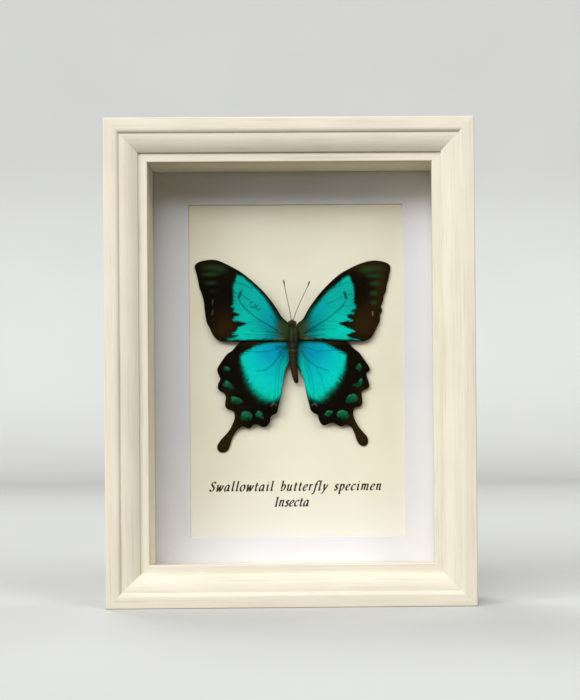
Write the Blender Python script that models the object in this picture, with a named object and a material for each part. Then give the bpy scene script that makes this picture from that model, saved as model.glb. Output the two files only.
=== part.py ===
"""Framed butterfly specimen: a swallowtail on a pin in a glazed wooden box frame.

Metres, +Z up. The front faces -Y. The origin is the middle of the frame's flat underside.
"""

import math

import bmesh
import bpy
from mathutils import Euler, Matrix, Vector

MM = 0.001
GAP = 0.3 * MM  # between neighbouring pieces

# Frame, outer size
FRAME_W = 162 * MM
FRAME_H = 214 * MM
FRAME_D = 38 * MM
FRONT = -FRAME_D / 2
BACK = FRAME_D / 2

# Moulding, in mm: u from the outer edge inwards, d from the front backwards
ARRIS = 0.5
BAND_W = 5.1  # flat outer band
SHOULDER = (6.1, 0.3)  # where it rounds over towards the ovolo
OVOLO_U = (6.8, 14.4)
OVOLO_D = 1.0
OVOLO_SLOPE = math.radians(36)  # at its inner end
OVOLO_STEPS = 6
LIP_FRONT = 4.4
SIGHT = 18.5  # width of the moulding's face
LIP_BACK = 7.2
REBATE = 15.0  # outer edge to the rebate wall
MITRE_CUT = 0.22 * MM  # taken off each mitred end, so that a joint keeps its gap

# Stack behind the lip: each sheet starts a gap behind the one before
GLASS_T = 2.0 * MM
LINER_T = 1.4 * MM
LINER_DEPTH = 19.2 * MM
MAT_T = 1.5 * MM
CARD_T = 1.0 * MM
PANEL_T = 3.0 * MM
WINDOW_W = 99 * MM
WINDOW_H = 154 * MM
WINDOW_AT = (1.2 * MM, 105.4 * MM)

# Steel points that hold the back panel
POINT_T = 0.5 * MM
POINT_W = 6 * MM
POINT_IN_RAIL = 7 * MM
POINT_ON_PANEL = 7.5 * MM
SIDE_POINTS_AT = 45 * MM

# Sawtooth hanger and its two nails
HANGER_W = 42 * MM
HANGER_H = 8 * MM
HANGER_T = 0.8 * MM
HANGER_RISE = 1.5 * MM
HANGER_EAR = 8 * MM
TEETH = 9
TOOTH_W = 2.2 * MM
TOOTH_H = 1.6 * MM
NAIL_X = 17 * MM
NAIL_R = 0.6 * MM
NAIL_HEAD_R = 1.7 * MM
NAIL_HEAD_T = 0.8 * MM
NAIL_LENGTH = 7 * MM

# Butterfly: where the middle of its thorax is, seen from the front, its wings' height above
# the card there, and how far they droop towards their tips
BODY_X = 0.15 * MM
BODY_Z = 121.4 * MM
WING_HEIGHT = 4.2 * MM
WING_T = 0.4 * MM
DROOP = math.radians(3.5)

# The outlines below are drawn 89 mm across, at this scale, as seen on the plane of the
# thorax from this place; a drooping wing's points lie further along the same lines of sight
SPREAD = 1.008
VIEW_X = 27 * MM
VIEW_Z = 69 * MM
VIEW_AWAY = 507 * MM
PIN_R = 0.3 * MM
PIN_HOLE_R = 0.6 * MM

# Wing outlines in mm from the middle of the thorax, x to the right and y up
FOREWING_LEFT = [
    (-3.3, -2.3), (-3.2, 4.2), (-5.3, 8.4), (-7.5, 12.0), (-10.4, 16.1), (-13.6, 20.0),
    (-17.2, 23.5), (-20.4, 26.3), (-23.9, 29.0), (-27.8, 31.3), (-31.7, 33.3),
    (-34.9, 34.5), (-38.1, 34.7), (-42.0, 34.0), (-44.2, 32.9), (-44.9, 31.3),
    (-44.2, 28.7), (-43.3, 24.8), (-42.8, 21.9), (-41.7, 19.0), (-40.8, 15.2),
    (-40.5, 12.0), (-39.7, 6.5), (-38.4, 3.9), (-37.1, 1.0), (-35.5, -1.2),
    (-33.9, -2.3), (-31.0, -2.7), (-18.8, -2.7),
]
FOREWING_RIGHT = [
    (3.0, -1.6), (3.0, 4.6), (4.2, 7.4), (6.9, 12.1), (10.0, 16.5), (13.3, 20.5),
    (17.3, 24.5), (21.4, 27.9), (25.4, 30.2), (29.4, 32.1), (33.5, 33.4), (37.2, 33.9),
    (40.9, 33.4), (43.3, 32.4), (44.3, 30.6), (43.4, 25.6), (42.6, 22.8), (42.2, 20.1),
    (41.1, 17.5), (40.9, 15.5), (39.9, 13.1), (40.4, 11.1), (39.4, 9.0), (39.4, 6.7),
    (38.2, 4.0), (36.5, 0.6), (35.2, -1.4), (32.8, -2.7), (29.4, -3.1), (12.7, -2.4),
]
HINDWING_LEFT = [
    (-3.1, -4.5), (-3.1, 0.5), (-10.0, 1.5), (-20.0, 0.0), (-25.3, -3.6), (-28.1, -6.7),
    (-30.6, -8.4), (-34.1, -13.3), (-35.0, -15.8), (-33.7, -19.7), (-34.6, -21.7),
    (-34.8, -23.9), (-33.7, -25.3), (-32.1, -26.1), (-31.2, -28.1), (-31.6, -30.9),
    (-31.1, -33.0), (-29.1, -33.9), (-27.6, -34.6), (-27.2, -36.9), (-27.8, -39.3),
    (-29.5, -42.8), (-31.6, -45.3), (-34.1, -48.1), (-35.3, -50.6), (-34.6, -52.5),
    (-32.7, -53.2), (-30.6, -52.3), (-29.5, -50.2), (-28.4, -46.7), (-26.7, -43.9),
    (-25.3, -42.3), (-23.5, -41.4), (-20.7, -42.3), (-17.9, -40.4), (-14.4, -41.8),
    (-12.7, -41.4), (-11.4, -40.0), (-10.9, -37.6), (-9.8, -36.3), (-8.1, -35.5),
    (-7.4, -33.3), (-5.6, -25.3), (-3.9, -15.8), (-3.1, -10.6),
]
HINDWING_RIGHT = [
    (3.0, -4.0), (2.3, -8.0), (3.2, -13.3), (4.3, -19.7), (5.3, -25.3), (6.7, -31.2),
    (7.4, -34.0), (8.8, -35.5), (10.7, -36.5), (11.1, -38.3), (12.0, -40.2),
    (13.7, -41.2), (17.6, -40.0), (21.1, -41.8), (23.6, -41.1), (25.3, -41.6),
    (26.4, -42.8), (27.4, -45.0), (28.3, -47.8), (29.5, -49.9), (31.3, -50.7),
    (33.0, -50.2), (33.6, -48.4), (33.0, -46.3), (30.9, -43.9), (28.8, -41.1),
    (27.2, -37.6), (26.9, -34.8), (27.8, -33.2), (30.0, -32.7), (31.1, -30.9),
    (30.9, -28.1), (30.7, -26.1), (32.0, -25.1), (33.9, -24.2), (34.3, -22.5),
    (33.0, -17.6), (34.1, -16.7), (34.6, -15.1), (31.7, -10.6), (29.9, -8.1),
    (27.4, -6.1), (25.0, -3.6), (20.0, 0.0), (10.0, 1.5), (3.1, 0.5),
]

# Body as (x, depth behind the wing plane, z, radius) in mm, from head to tail
BODY = [
    (-0.7, 0.6, 7.0, 0.5), (-0.7, 0.6, 6.5, 1.3), (-0.7, 0.6, 5.7, 1.85),
    (-0.6, 0.6, 4.9, 1.85), (-0.5, 0.6, 4.1, 1.4), (-0.3, 0.6, 3.4, 1.6),
    (0.0, 0.6, 2.3, 2.3), (0.0, 0.6, 0.4, 2.55), (0.0, 0.6, -1.6, 2.4),
    (-0.1, 0.6, -3.0, 2.0), (-0.2, 0.6, -3.8, 1.7), (-0.4, 0.6, -5.2, 2.0),
    (-0.4, 0.7, -8.0, 2.1), (-0.3, 0.8, -12.0, 1.85), (0.0, 1.0, -15.6, 1.55),
    (0.5, 1.3, -19.0, 1.3), (0.9, 1.5, -21.0, 1.0), (1.0, 1.5, -21.8, 0.5),
]
EYE_AT = (1.35, 0.3, 5.5)
EYE_R = 0.85

# Legs folded under the thorax, one side, as (x, depth behind the wing plane, z) in mm
LEGS = [
    [(1.2, 1.4, 2.4), (2.9, 2.4, 3.8), (3.3, 3.1, 1.8), (2.7, 3.3, 0.2)],
    [(1.4, 1.6, 0.2), (3.3, 2.6, -0.8), (3.2, 3.3, -3.4), (2.6, 3.3, -5.4)],
    [(1.2, 1.6, -1.4), (2.3, 2.8, -3.0), (2.2, 3.3, -6.4), (1.6, 3.4, -9.2)],
]
LEG_R = 0.25

# Antennae as (x, depth behind the wing plane, z, radius) in mm, from head to club
ANTENNA_LEFT = [
    (-1.0, 0.2, 7.4, 0.2), (-1.7, -0.2, 11.0, 0.17), (-2.9, -0.6, 17.0, 0.16),
    (-4.0, -0.8, 22.8, 0.2), (-4.2, -0.8, 23.9, 0.42), (-4.4, -0.8, 25.1, 0.3),
]
ANTENNA_RIGHT = [
    (-0.2, 0.2, 7.5, 0.2), (1.3, -0.2, 11.0, 0.17), (4.0, -0.6, 17.0, 0.16),
    (6.6, -0.8, 22.4, 0.2), (7.0, -0.8, 23.4, 0.42), (7.5, -0.8, 24.5, 0.3),
]


def clear_scene():
    for obj in list(bpy.data.objects):
        bpy.data.objects.remove(obj)


def collection(name, hidden=False):
    made = bpy.data.collections.new(name)
    made.hide_render = hidden
    bpy.context.scene.collection.children.link(made)
    return made


def material(name, colour, roughness, metallic=0.0):
    made = bpy.data.materials.new(name)
    made.use_nodes = True
    shader = made.node_tree.nodes["Principled BSDF"]
    shader.inputs["Base Color"].default_value = (*colour, 1)
    shader.inputs["Roughness"].default_value = roughness
    shader.inputs["Metallic"].default_value = metallic
    made.diffuse_color = (*colour, 1)
    return made


def add(name, data, where, finish=None, matrix=None):
    obj = bpy.data.objects.new(name, data)
    obj.matrix_world = matrix or Matrix()
    where.objects.link(obj)
    if finish:
        data.materials.append(finish)
    return obj


def box(name, low, high, where, finish=None):
    """A box between two opposite corners."""
    low, high = Vector(low), Vector(high)
    body = bmesh.new()
    bmesh.ops.create_cube(body, size=1)
    bmesh.ops.scale(body, vec=high - low, verts=body.verts)
    bmesh.ops.translate(body, vec=(low + high) / 2, verts=body.verts)
    mesh = bpy.data.meshes.new(name)
    body.to_mesh(mesh)
    body.free()
    return add(name, mesh, where, finish)


def rod(name, radius, start, end, where, finish=None, sides=16):
    """A cylinder along Y from start to end, two points that differ in Y only."""
    middle = (Vector(start) + Vector(end)) / 2
    body = bmesh.new()
    bmesh.ops.create_cone(
        body, cap_ends=True, segments=sides, radius1=radius, radius2=radius,
        depth=abs(end[1] - start[1]),
    )
    turn = Matrix.Translation(middle) @ Matrix.Rotation(math.radians(90), 4, "X")
    bmesh.ops.transform(body, matrix=turn, verts=body.verts)
    mesh = bpy.data.meshes.new(name)
    body.to_mesh(mesh)
    body.free()
    return add(name, mesh, where, finish)


def plate(name, outline, thickness, where, finish=None, matrix=None):
    """A flat outline in its own XY plane, extruded to a thickness about that plane."""
    curve = bpy.data.curves.new(name, "CURVE")
    curve.dimensions = "2D"
    curve.fill_mode = "BOTH"
    curve.extrude = thickness / 2
    spline = curve.splines.new("POLY")
    spline.points.add(len(outline) - 1)
    for point, (x, y) in zip(spline.points, outline):
        point.co = (x, y, 0, 1)
    spline.use_cyclic_u = True
    return add(name, curve, where, finish, matrix)


def tube(name, route, where, finish=None, sides=2):
    """A round tube through points of (x, y, z, radius), with closed ends."""
    curve = bpy.data.curves.new(name, "CURVE")
    curve.dimensions = "3D"
    curve.bevel_depth = 1.0
    curve.bevel_resolution = sides
    curve.use_fill_caps = True
    spline = curve.splines.new("POLY")
    spline.points.add(len(route) - 1)
    for point, (x, y, z, radius) in zip(spline.points, route):
        point.co = (x, y, z, 1)
        point.radius = radius
    return add(name, curve, where, finish)


def as_mesh(source):
    """The same object with its curve made into one closed mesh."""
    bpy.context.view_layer.update()
    graph = bpy.context.evaluated_depsgraph_get()
    mesh = bpy.data.meshes.new_from_object(source.evaluated_get(graph))
    body = bmesh.new()
    body.from_mesh(mesh)
    bmesh.ops.remove_doubles(body, verts=body.verts, dist=1e-6)
    bmesh.ops.recalc_face_normals(body, faces=body.faces)
    body.to_mesh(mesh)
    body.free()
    name, where = source.name, source.users_collection[0]
    matrix, curve = source.matrix_world.copy(), source.data
    bpy.data.objects.remove(source)
    bpy.data.curves.remove(curve)
    return add(name, mesh, where, None, matrix)


def boolean(target, tool, operation="DIFFERENCE"):
    tool.hide_render = True
    tool.display_type = "WIRE"
    modifier = target.modifiers.new(tool.name, "BOOLEAN")
    modifier.operation = operation
    modifier.object = tool


def moulding_outline():
    """The moulding's section as (u, d) points, anticlockwise."""
    start, end = OVOLO_U
    radius = (end - start) / math.sin(OVOLO_SLOPE)
    ovolo = []
    for step in range(OVOLO_STEPS + 1):
        angle = OVOLO_SLOPE * step / OVOLO_STEPS
        drop = radius * (1 - math.cos(angle))
        ovolo.append((start + radius * math.sin(angle), OVOLO_D + drop))
    back = FRAME_D / MM
    points = [
        (0, back), (0, ARRIS), (ARRIS, 0), (BAND_W, 0), SHOULDER,
        (start - 0.2, OVOLO_D), *ovolo, (end + 0.1, LIP_FRONT),
        (SIGHT - ARRIS, LIP_FRONT), (SIGHT, LIP_FRONT + ARRIS), (SIGHT, LIP_BACK),
        (REBATE, LIP_BACK), (REBATE, back),
    ]
    return [(u * MM, d * MM) for u, d in points]


def make_rail(name, inwards, middle, length, where, finish):
    """A mitred length of moulding. middle is the middle of its outer front edge."""
    depthwise = Vector((0, 1, 0))
    along = inwards.cross(depthwise)
    matrix = Matrix.Translation(middle) @ Matrix(
        [(inwards[i], depthwise[i], along[i], 0) for i in range(3)] + [(0, 0, 0, 1)]
    )
    rail = as_mesh(plate(name, moulding_outline(), length, where, None, matrix))
    for vertex in rail.data.vertices:
        end = length / 2 - vertex.co.x - MITRE_CUT
        vertex.co.z = math.copysign(end, vertex.co.z)
    rail.data.materials.append(finish)
    return rail


def make_frame(parts, painted):
    half_w, middle_z = FRAME_W / 2, FRAME_H / 2
    sides = {
        "rail_top": (Vector((0, 0, -1)), (0, FRONT, FRAME_H), FRAME_W),
        "rail_bottom": (Vector((0, 0, 1)), (0, FRONT, 0), FRAME_W),
        "rail_left": (Vector((1, 0, 0)), (-half_w, FRONT, middle_z), FRAME_H),
        "rail_right": (Vector((-1, 0, 0)), (half_w, FRONT, middle_z), FRAME_H),
    }
    return {
        name: make_rail(name, inwards, Vector(middle), length, parts, painted)
        for name, (inwards, middle, length) in sides.items()
    }


def rebate_box(inset):
    """Half width, lowest and highest Z of the rebate opening, less an inset all round."""
    margin = REBATE * MM + inset
    return FRAME_W / 2 - margin, margin, FRAME_H - margin


def sheet(name, start, thickness, parts, finish):
    """A sheet that fills the rebate, its front at depth start. Returns it and its back."""
    half, low, high = rebate_box(GAP)
    y = FRONT + start
    made = box(name, (-half, y, low), (half, y + thickness, high), parts, finish)
    return made, start + thickness


def make_liners(start, parts, finish):
    """Four strips round the inside wall that hold the mat back from the glass."""
    half, low, high = rebate_box(GAP)
    front, back = FRONT + start, FRONT + start + LINER_DEPTH
    inner = half - LINER_T
    bottom, top = low + LINER_T, high - LINER_T
    box("liner_left", (-half, front, low), (-inner, back, high), parts, finish)
    box("liner_right", (inner, front, low), (half, back, high), parts, finish)
    inner -= GAP
    box("liner_bottom", (-inner, front, low), (inner, back, bottom), parts, finish)
    box("liner_top", (-inner, front, top), (inner, back, high), parts, finish)
    return start + LINER_DEPTH


def make_stack(parts, cutters, looks):
    """Glass to back panel. Returns the card with its front depth, and the panel's back."""
    _, back = sheet("glass_pane", LIP_BACK * MM + GAP, GLASS_T, parts, looks["glass"])
    back = make_liners(back + GAP, parts, looks["liner"])
    mat, back = sheet("window_mat", back + GAP, MAT_T, parts, looks["mat"])
    x, z = WINDOW_AT
    window = box(
        "cut_window",
        (x - WINDOW_W / 2, FRONT, z - WINDOW_H / 2),
        (x + WINDOW_W / 2, BACK, z + WINDOW_H / 2),
        cutters,
    )
    boolean(mat, window)
    card_front = back + GAP
    card, back = sheet("mount_card", card_front, CARD_T, parts, looks["card"])
    _, back = sheet("back_panel", back + GAP, PANEL_T, parts, looks["hardboard"])
    return card, card_front, back


def make_points(rails, panel_back, parts, cutters, steel):
    """Flat steel points pushed into slots in the rebate wall, over the back panel."""
    half, low, high = rebate_box(0)
    middle_z = FRAME_H / 2
    y = FRONT + panel_back + GAP
    places = [("bottom", Vector((0, y, low)), Vector((0, 0, 1)))]
    places.append(("top", Vector((0, y, high)), Vector((0, 0, -1))))
    for side, x in (("left", -half), ("right", half)):
        inwards = Vector((-math.copysign(1, x), 0, 0))
        for end, offset in (("upper", SIDE_POINTS_AT), ("lower", -SIDE_POINTS_AT)):
            at = Vector((x, y, middle_z + offset))
            places.append((f"{side}_{end}", at, inwards))
    for place, wall, inwards in places:
        across = inwards.cross(Vector((0, 1, 0))) * POINT_W / 2
        depth = Vector((0, POINT_T, 0))
        corners = (
            wall - inwards * POINT_IN_RAIL - across,
            wall + inwards * POINT_ON_PANEL + across + depth,
        )
        low_corner = Vector(map(min, *corners))
        high_corner = Vector(map(max, *corners))
        box(f"steel_point_{place}", low_corner, high_corner, parts, steel)
        room = Vector((GAP, GAP, GAP))
        slot = box(f"cut_slot_{place}", low_corner - room, high_corner + room, cutters)
        boolean(rails[f"rail_{place.split('_')[0]}"], slot)


def hanger_section():
    """The strip's long section, its ears flat and its middle raised off the wood."""
    ramp = HANGER_RISE
    stations = [
        (-HANGER_W / 2, 0), (-HANGER_W / 2 + HANGER_EAR, 0),
        (-HANGER_W / 2 + HANGER_EAR + ramp, HANGER_RISE),
        (HANGER_W / 2 - HANGER_EAR - ramp, HANGER_RISE),
        (HANGER_W / 2 - HANGER_EAR, 0), (HANGER_W / 2, 0),
    ]
    return stations + [(x, y + HANGER_T) for x, y in reversed(stations)]


def make_hanger(top_rail, parts, cutters, steel):
    z = FRAME_H - REBATE * MM / 2
    y = BACK + GAP
    hanger = plate(
        "sawtooth_hanger", hanger_section(), HANGER_H, parts, None,
        Matrix.Translation((0, y, z)),
    )
    hanger = as_mesh(hanger)
    hanger.data.materials.append(steel)
    low = -HANGER_H / 2
    comb = [(-TEETH * TOOTH_W / 2, low - TOOTH_H)]
    for tooth in range(TEETH):
        x = (tooth - TEETH / 2) * TOOTH_W
        comb += [(x, low), (x + TOOTH_W / 2, low + TOOTH_H)]
    comb += [(TEETH * TOOTH_W / 2, low), (TEETH * TOOTH_W / 2, low - TOOTH_H)]
    facing = Matrix.Rotation(math.radians(90), 4, "X")
    cutter = plate(
        "cut_teeth", comb, FRAME_D, cutters, None, Matrix.Translation((0, y, z)) @ facing
    )
    boolean(hanger, as_mesh(cutter))
    for side, x in (("left", -NAIL_X), ("right", NAIL_X)):
        head = y + HANGER_T + GAP
        tip = head - NAIL_LENGTH
        nail = rod(f"nail_shank_{side}", NAIL_R, (x, tip, z), (x, head + 1e-4, z), cutters)
        cap = (x, head, z), (x, head + NAIL_HEAD_T, z)
        made = rod(f"hanger_nail_{side}", NAIL_HEAD_R, *cap, parts, steel)
        boolean(made, nail, "UNION")
        hole = rod(
            f"cut_nail_{side}", NAIL_R + GAP, (x, tip - GAP, z), (x, head + GAP, z), cutters
        )
        boolean(top_rail, hole)
        boolean(hanger, hole)


def butterfly_matrix(wing_plane):
    """Specimen space in mm: x right, y depth behind the wing plane, z up."""
    place = Matrix.Translation((BODY_X, FRONT + wing_plane, BODY_Z))
    return place @ Matrix.Scale(MM * SPREAD, 4)


def placed(route, matrix):
    """Points of (x, y, z, radius) in mm, as metres in the frame's space."""
    return [(*(matrix @ Vector(point[:3])), point[3] * MM) for point in route]


def on_wing(x, y, side):
    """A point of an outline in mm, as metres in the plane of a drooping wing."""
    x *= MM * SPREAD
    y *= MM * SPREAD
    sight_x = (x + BODY_X - VIEW_X) / VIEW_AWAY
    sight_z = (y + BODY_Z - VIEW_Z) / VIEW_AWAY
    slope = side * math.tan(DROOP)
    drop = slope * x / (1 - slope * sight_x)
    return ((x + drop * sight_x) / math.cos(DROOP), y + drop * sight_z)


def make_wing(name, outline, behind, matrix, parts, finish):
    side = math.copysign(1, outline[0][0])
    turn = Euler((math.radians(90), 0, side * DROOP)).to_matrix().to_4x4()
    back = Vector((0, behind / math.cos(DROOP), 0))
    at = Matrix.Translation(matrix.translation + back)
    points = [on_wing(x, y, side) for x, y in outline]
    wing = as_mesh(plate(name, points, WING_T, parts, None, at @ turn))
    wing.data.materials.append(finish)


def make_body(matrix, parts, cutters, finish):
    """Head, thorax, abdomen, eyes and folded legs, grown as one."""
    body = as_mesh(tube("butterfly_body", placed(BODY, matrix), parts, None, 4))
    body.data.materials.append(finish)
    for side in (-1, 1):
        eye = bmesh.new()
        bmesh.ops.create_uvsphere(eye, u_segments=12, v_segments=8, radius=EYE_R * MM)
        x, y, z = EYE_AT
        at = matrix @ Vector((BODY[2][0] + side * x, y, z))
        bmesh.ops.translate(eye, vec=at, verts=eye.verts)
        mesh = bpy.data.meshes.new("eye")
        eye.to_mesh(mesh)
        eye.free()
        boolean(body, add(f"join_eye_{side + 1}", mesh, cutters), "UNION")
        for number, leg in enumerate(LEGS):
            route = [(side * x, y, z, LEG_R) for x, y, z in leg]
            name = f"join_leg_{side + 1}_{number}"
            limb = as_mesh(tube(name, placed(route, matrix), cutters, None, 1))
            boolean(body, limb, "UNION")
    return body


def make_butterfly(card, card_front, parts, cutters, looks):
    matrix = butterfly_matrix(card_front - WING_HEIGHT)
    body = make_body(matrix, parts, cutters, looks["chitin"])
    for name, outline in (
        ("forewing_left", FOREWING_LEFT), ("forewing_right", FOREWING_RIGHT),
    ):
        make_wing(name, outline, 0, matrix, parts, looks["wing"])
    for name, outline in (
        ("hindwing_left", HINDWING_LEFT), ("hindwing_right", HINDWING_RIGHT),
    ):
        make_wing(name, outline, WING_T + GAP, matrix, parts, looks["wing"])
    for name, route in (
        ("antenna_left", ANTENNA_LEFT), ("antenna_right", ANTENNA_RIGHT),
    ):
        feeler = as_mesh(tube(name, placed(route, matrix), parts))
        feeler.data.materials.append(looks["chitin"])
    top = (BODY_X, matrix.translation.y + 1.2 * MM, BODY_Z)
    foot = (BODY_X, FRONT + card_front + CARD_T, BODY_Z)
    rod("insect_pin", PIN_R, top, foot, parts, looks["steel"], 12)
    hole_top = (BODY_X, top[1] - GAP, BODY_Z)
    hole_foot = (BODY_X, foot[1] + GAP, BODY_Z)
    hole = rod("cut_pin", PIN_HOLE_R, hole_top, hole_foot, cutters, None, 12)
    boolean(body, hole)
    boolean(card, hole)


def main():
    clear_scene()
    parts = collection("framed_butterfly")
    cutters = collection("cutters", hidden=True)
    looks = {
        "painted": material("cream_wood", (0.84, 0.76, 0.62), 0.45),
        "glass": material("clear_glass", (0.85, 0.92, 0.9), 0.05),
        "liner": material("liner_card", (0.62, 0.56, 0.44), 0.8),
        "mat": material("white_mat", (0.82, 0.8, 0.81), 0.85),
        "card": material("cream_card", (0.83, 0.79, 0.64), 0.85),
        "hardboard": material("hardboard", (0.25, 0.14, 0.07), 0.8),
        "steel": material("steel", (0.6, 0.6, 0.6), 0.35, 1.0),
        "wing": material("wing_scales", (0.0, 0.42, 0.38), 0.5),
        "chitin": material("dark_chitin", (0.03, 0.02, 0.012), 0.6),
    }
    rails = make_frame(parts, looks["painted"])
    card, card_front, panel_back = make_stack(parts, cutters, looks)
    make_points(rails, panel_back, parts, cutters, looks["steel"])
    make_hanger(rails["rail_top"], parts, cutters, looks["steel"])
    make_butterfly(card, card_front, parts, cutters, looks)


main()
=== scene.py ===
import math
import random

import bmesh
import bpy
import numpy as np
from mathutils import Matrix, Vector
from mathutils.geometry import delaunay_2d_cdt


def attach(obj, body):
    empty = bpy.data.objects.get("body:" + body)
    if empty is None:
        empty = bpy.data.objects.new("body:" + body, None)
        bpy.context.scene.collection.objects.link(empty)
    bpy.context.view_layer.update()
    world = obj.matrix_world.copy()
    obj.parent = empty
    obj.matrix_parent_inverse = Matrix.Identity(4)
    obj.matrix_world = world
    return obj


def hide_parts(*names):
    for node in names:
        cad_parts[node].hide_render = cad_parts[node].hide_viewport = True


MM = 0.001
CURVE_STEPS = 6  # points from one given point of a drawn line to the next
OUTLINE_STEPS = 5  # the same for outlines
FIELD_STEPS = 4  # and for the edges of the bright fields

# Frame and moulding, in mm: u from the outer edge inwards, d from the front backwards
FRAME_W = 162
FRAME_H = 214
FRAME_D = 38
FRONT = -FRAME_D / 2
BAND_W = 4.7  # flat outer band, before it rounds over
EDGE_R = 0.6
BACK_R = 0.3
CORNER_STEPS = 5
SHOULDER_U = 6.2
SHOULDER_STEPS = 10
OVOLO_U = (6.8, 14.4)
OVOLO_D = 1.0
OVOLO_SLOPE = math.radians(36)
OVOLO_STEPS = 18
LIP_FRONT = 4.4
LIP_BACK = 7.2
SIGHT = 18.5
REBATE = 15.0
MITRE_CUT = 0.004
MITRE_ROUND = 0.03  # how far the mitred ends are rounded off
RAIL_STATIONS = 40

# Mat board with its window, in mm
MAT_MARGIN = 15.3  # outer edge of the frame to the board
MAT_FRONT = 29.3
MAT_SINK = 1.0  # towards its window
MAT_BACK = 31.05
WINDOW_AT = (1.2, 105.4)
WINDOW_SIZE = (99.0, 154.0)
WINDOW_BEVEL = 0.15
CARD_PALER_HEIGHTS = (0.062, 0.030)  # heights in m between which the card turns paler and less yellow towards the bottom

# Specimen, in mm
BODY_X = 0.15
BODY_Z = 121.4
SPREAD = 1.008  # scale of the outlines and markings below
VIEW_X = 27  # they are drawn as seen on the plane of the thorax from this place
VIEW_Z = 69
VIEW_AWAY = 507
WING_PLANE = 26.9  # depth of the forewings at the thorax
HINDWING_BEHIND = 0.7
DROOP = math.radians(3.5)
TIP_SINK = 0.9  # how much lower still the tips and the tails are
TIP_FROM_TO = (33, 45)
TAIL_SINK = 1.0
TAIL_FROM_TO = (38, 50)
WING_T = 0.14
WING_FRONT = -0.12  # the visible surface, from the middle of the solid plate
CAMBER = 0.4
CAMBER_REACH = 4.0
RIB_RISE = 0.05
RIB_WIDTH = 0.22
RIPPLE = 0.1  # of the whole wing, with so many radians per mm across and up
RIPPLE_WAVES = (0.31, 0.17)
FORE_HINGE = (2.0, 1.0)  # where the combing of the scales spreads from
HIND_HINGE = (2.0, -4.0)
TUCK_WITHIN = 3.4  # edge points this near the middle go in under the body
TUCK = 0.45
LINE_WIDTH = 0.24
PALE_WIDTH = 0.3
GRID = 0.4  # spacing of the wings' mesh
GRID_ROW = 0.87 * GRID
GRID_GAP = 0.6 * GRID  # least distance of its points from the outline
VEIN_STEP = 0.25
VEIN_GAP = 0.55 * GRID
CARD_FRONT = 31.1

# Camera, fitted to the frame's corners in the photograph
IMAGE_PX = (580, 700)
PRINCIPAL_PX = (363, 444)
FOCAL_PX = 1102.7
SENSOR = 36
CAMERA_AT = (27.2, -499.0, 68.7)
CAMERA_YAW = math.radians(0.50)
CAMERA_PITCH = math.radians(0.28)
CAMERA_ROLL = math.radians(-0.44)

# Light
SOFT_LIGHTS = [  # degrees to the left, degrees up, strength
    (-45, 28, 0.6), (-45, 51, 0.48), (36, 5, 0.1), (5, 28, 0.83), (5, 51, 0.48),
    (30, 28, 0.87), (55, 5, 0.53), (55, 28, 1.12), (-115, 35, 0.6), (150, 62, 1.2),
]
LIGHT_SPREAD = math.radians(24)
LIGHT_COLOUR = (0.965, 1.0, 1.02)
WORLD_COLOUR = (1.0, 0.89, 0.7)
WORLD_STRENGTH = 0.127
FLOOR_HALF = 4.0
FLOOR_BACK = 1.8
FLOOR_CURVE = 0.9
FLOOR_STEPS = 16
FLOOR_TOP = 3.0

# Markings and outlines below are in mm from the middle of the thorax, x right and y up.
# A field's third value is how softly its edge fades there.
FORE_FIELD_LEFT = [
    (-25.5, 27.7, 0.5), (-23, 26.9, 0.6), (-20.2, 24.7, 0.6), (-17.5, 22.2, 0.7),
    (-14.7, 19.4, 0.8), (-12.2, 16.2, 0.9), (-9.9, 12.6, 1.1), (-8.1, 9.4, 1.4),
    (-6.4, 6, 2), (-5.6, 2.6, 2.6), (-5.4, -1.3, 2), (-8, -1.8, 0.6),
    (-18.9, -2, 0.4), (-24.8, -2.1, 0.4), (-30.4, -1.9, 0.5), (-28.5, -0.9, 0.6),
    (-25.5, -0.2, 0.5), (-28.4, 0.6, 0.5), (-26.4, 1.9, 0.5), (-25, 3.8, 0.3),
    (-21.7, 5.6, 0.25), (-24.6, 6.3, 0.25), (-27.9, 6.9, 0.3), (-27, 8.3, 0.3),
    (-24.9, 9.3, 0.25), (-26.4, 10.2, 0.3), (-27.5, 11, 0.3), (-27, 12.2, 0.4),
    (-28.4, 13.1, 0.5), (-27.6, 14.7, 0.6), (-27.4, 19.3, 0.6), (-27.6, 22.6, 0.6),
    (-26.8, 25.2, 0.6), (-25.8, 26.6, 0.5),
]
FORE_FIELD_RIGHT = [
    (25.3, 26.8, 0.5), (26.7, 24.8, 0.5), (27.5, 22.9, 0.5), (27.8, 18.3, 0.5),
    (27.7, 14.7, 0.5), (28.8, 12.5, 0.5), (27.1, 11.2, 0.4), (26.6, 10.6, 0.3),
    (28.2, 9.9, 0.3), (24.5, 8.7, 0.25), (25.6, 7.7, 0.3), (27.2, 6.5, 0.3),
    (24, 6.1, 0.25), (20.9, 5.4, 0.25), (23.6, 3.8, 0.3), (27.9, 1.8, 0.4),
    (26.1, 0.6, 0.4), (24.4, -0.2, 0.4), (26.6, -1.4, 0.5), (30.2, -2.3, 0.5),
    (25.3, -2.3, 0.4), (17.7, -2, 0.4), (10.4, -1.6, 0.6), (4.6, -1.1, 1.8),
    (4.4, 1.8, 2.4), (6.1, 6.9, 1.8), (8.3, 11.3, 1.2), (11.9, 15.7, 0.9),
    (15.2, 19.4, 0.8), (19.5, 23, 0.7), (22.6, 25.7, 0.6),
]
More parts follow.
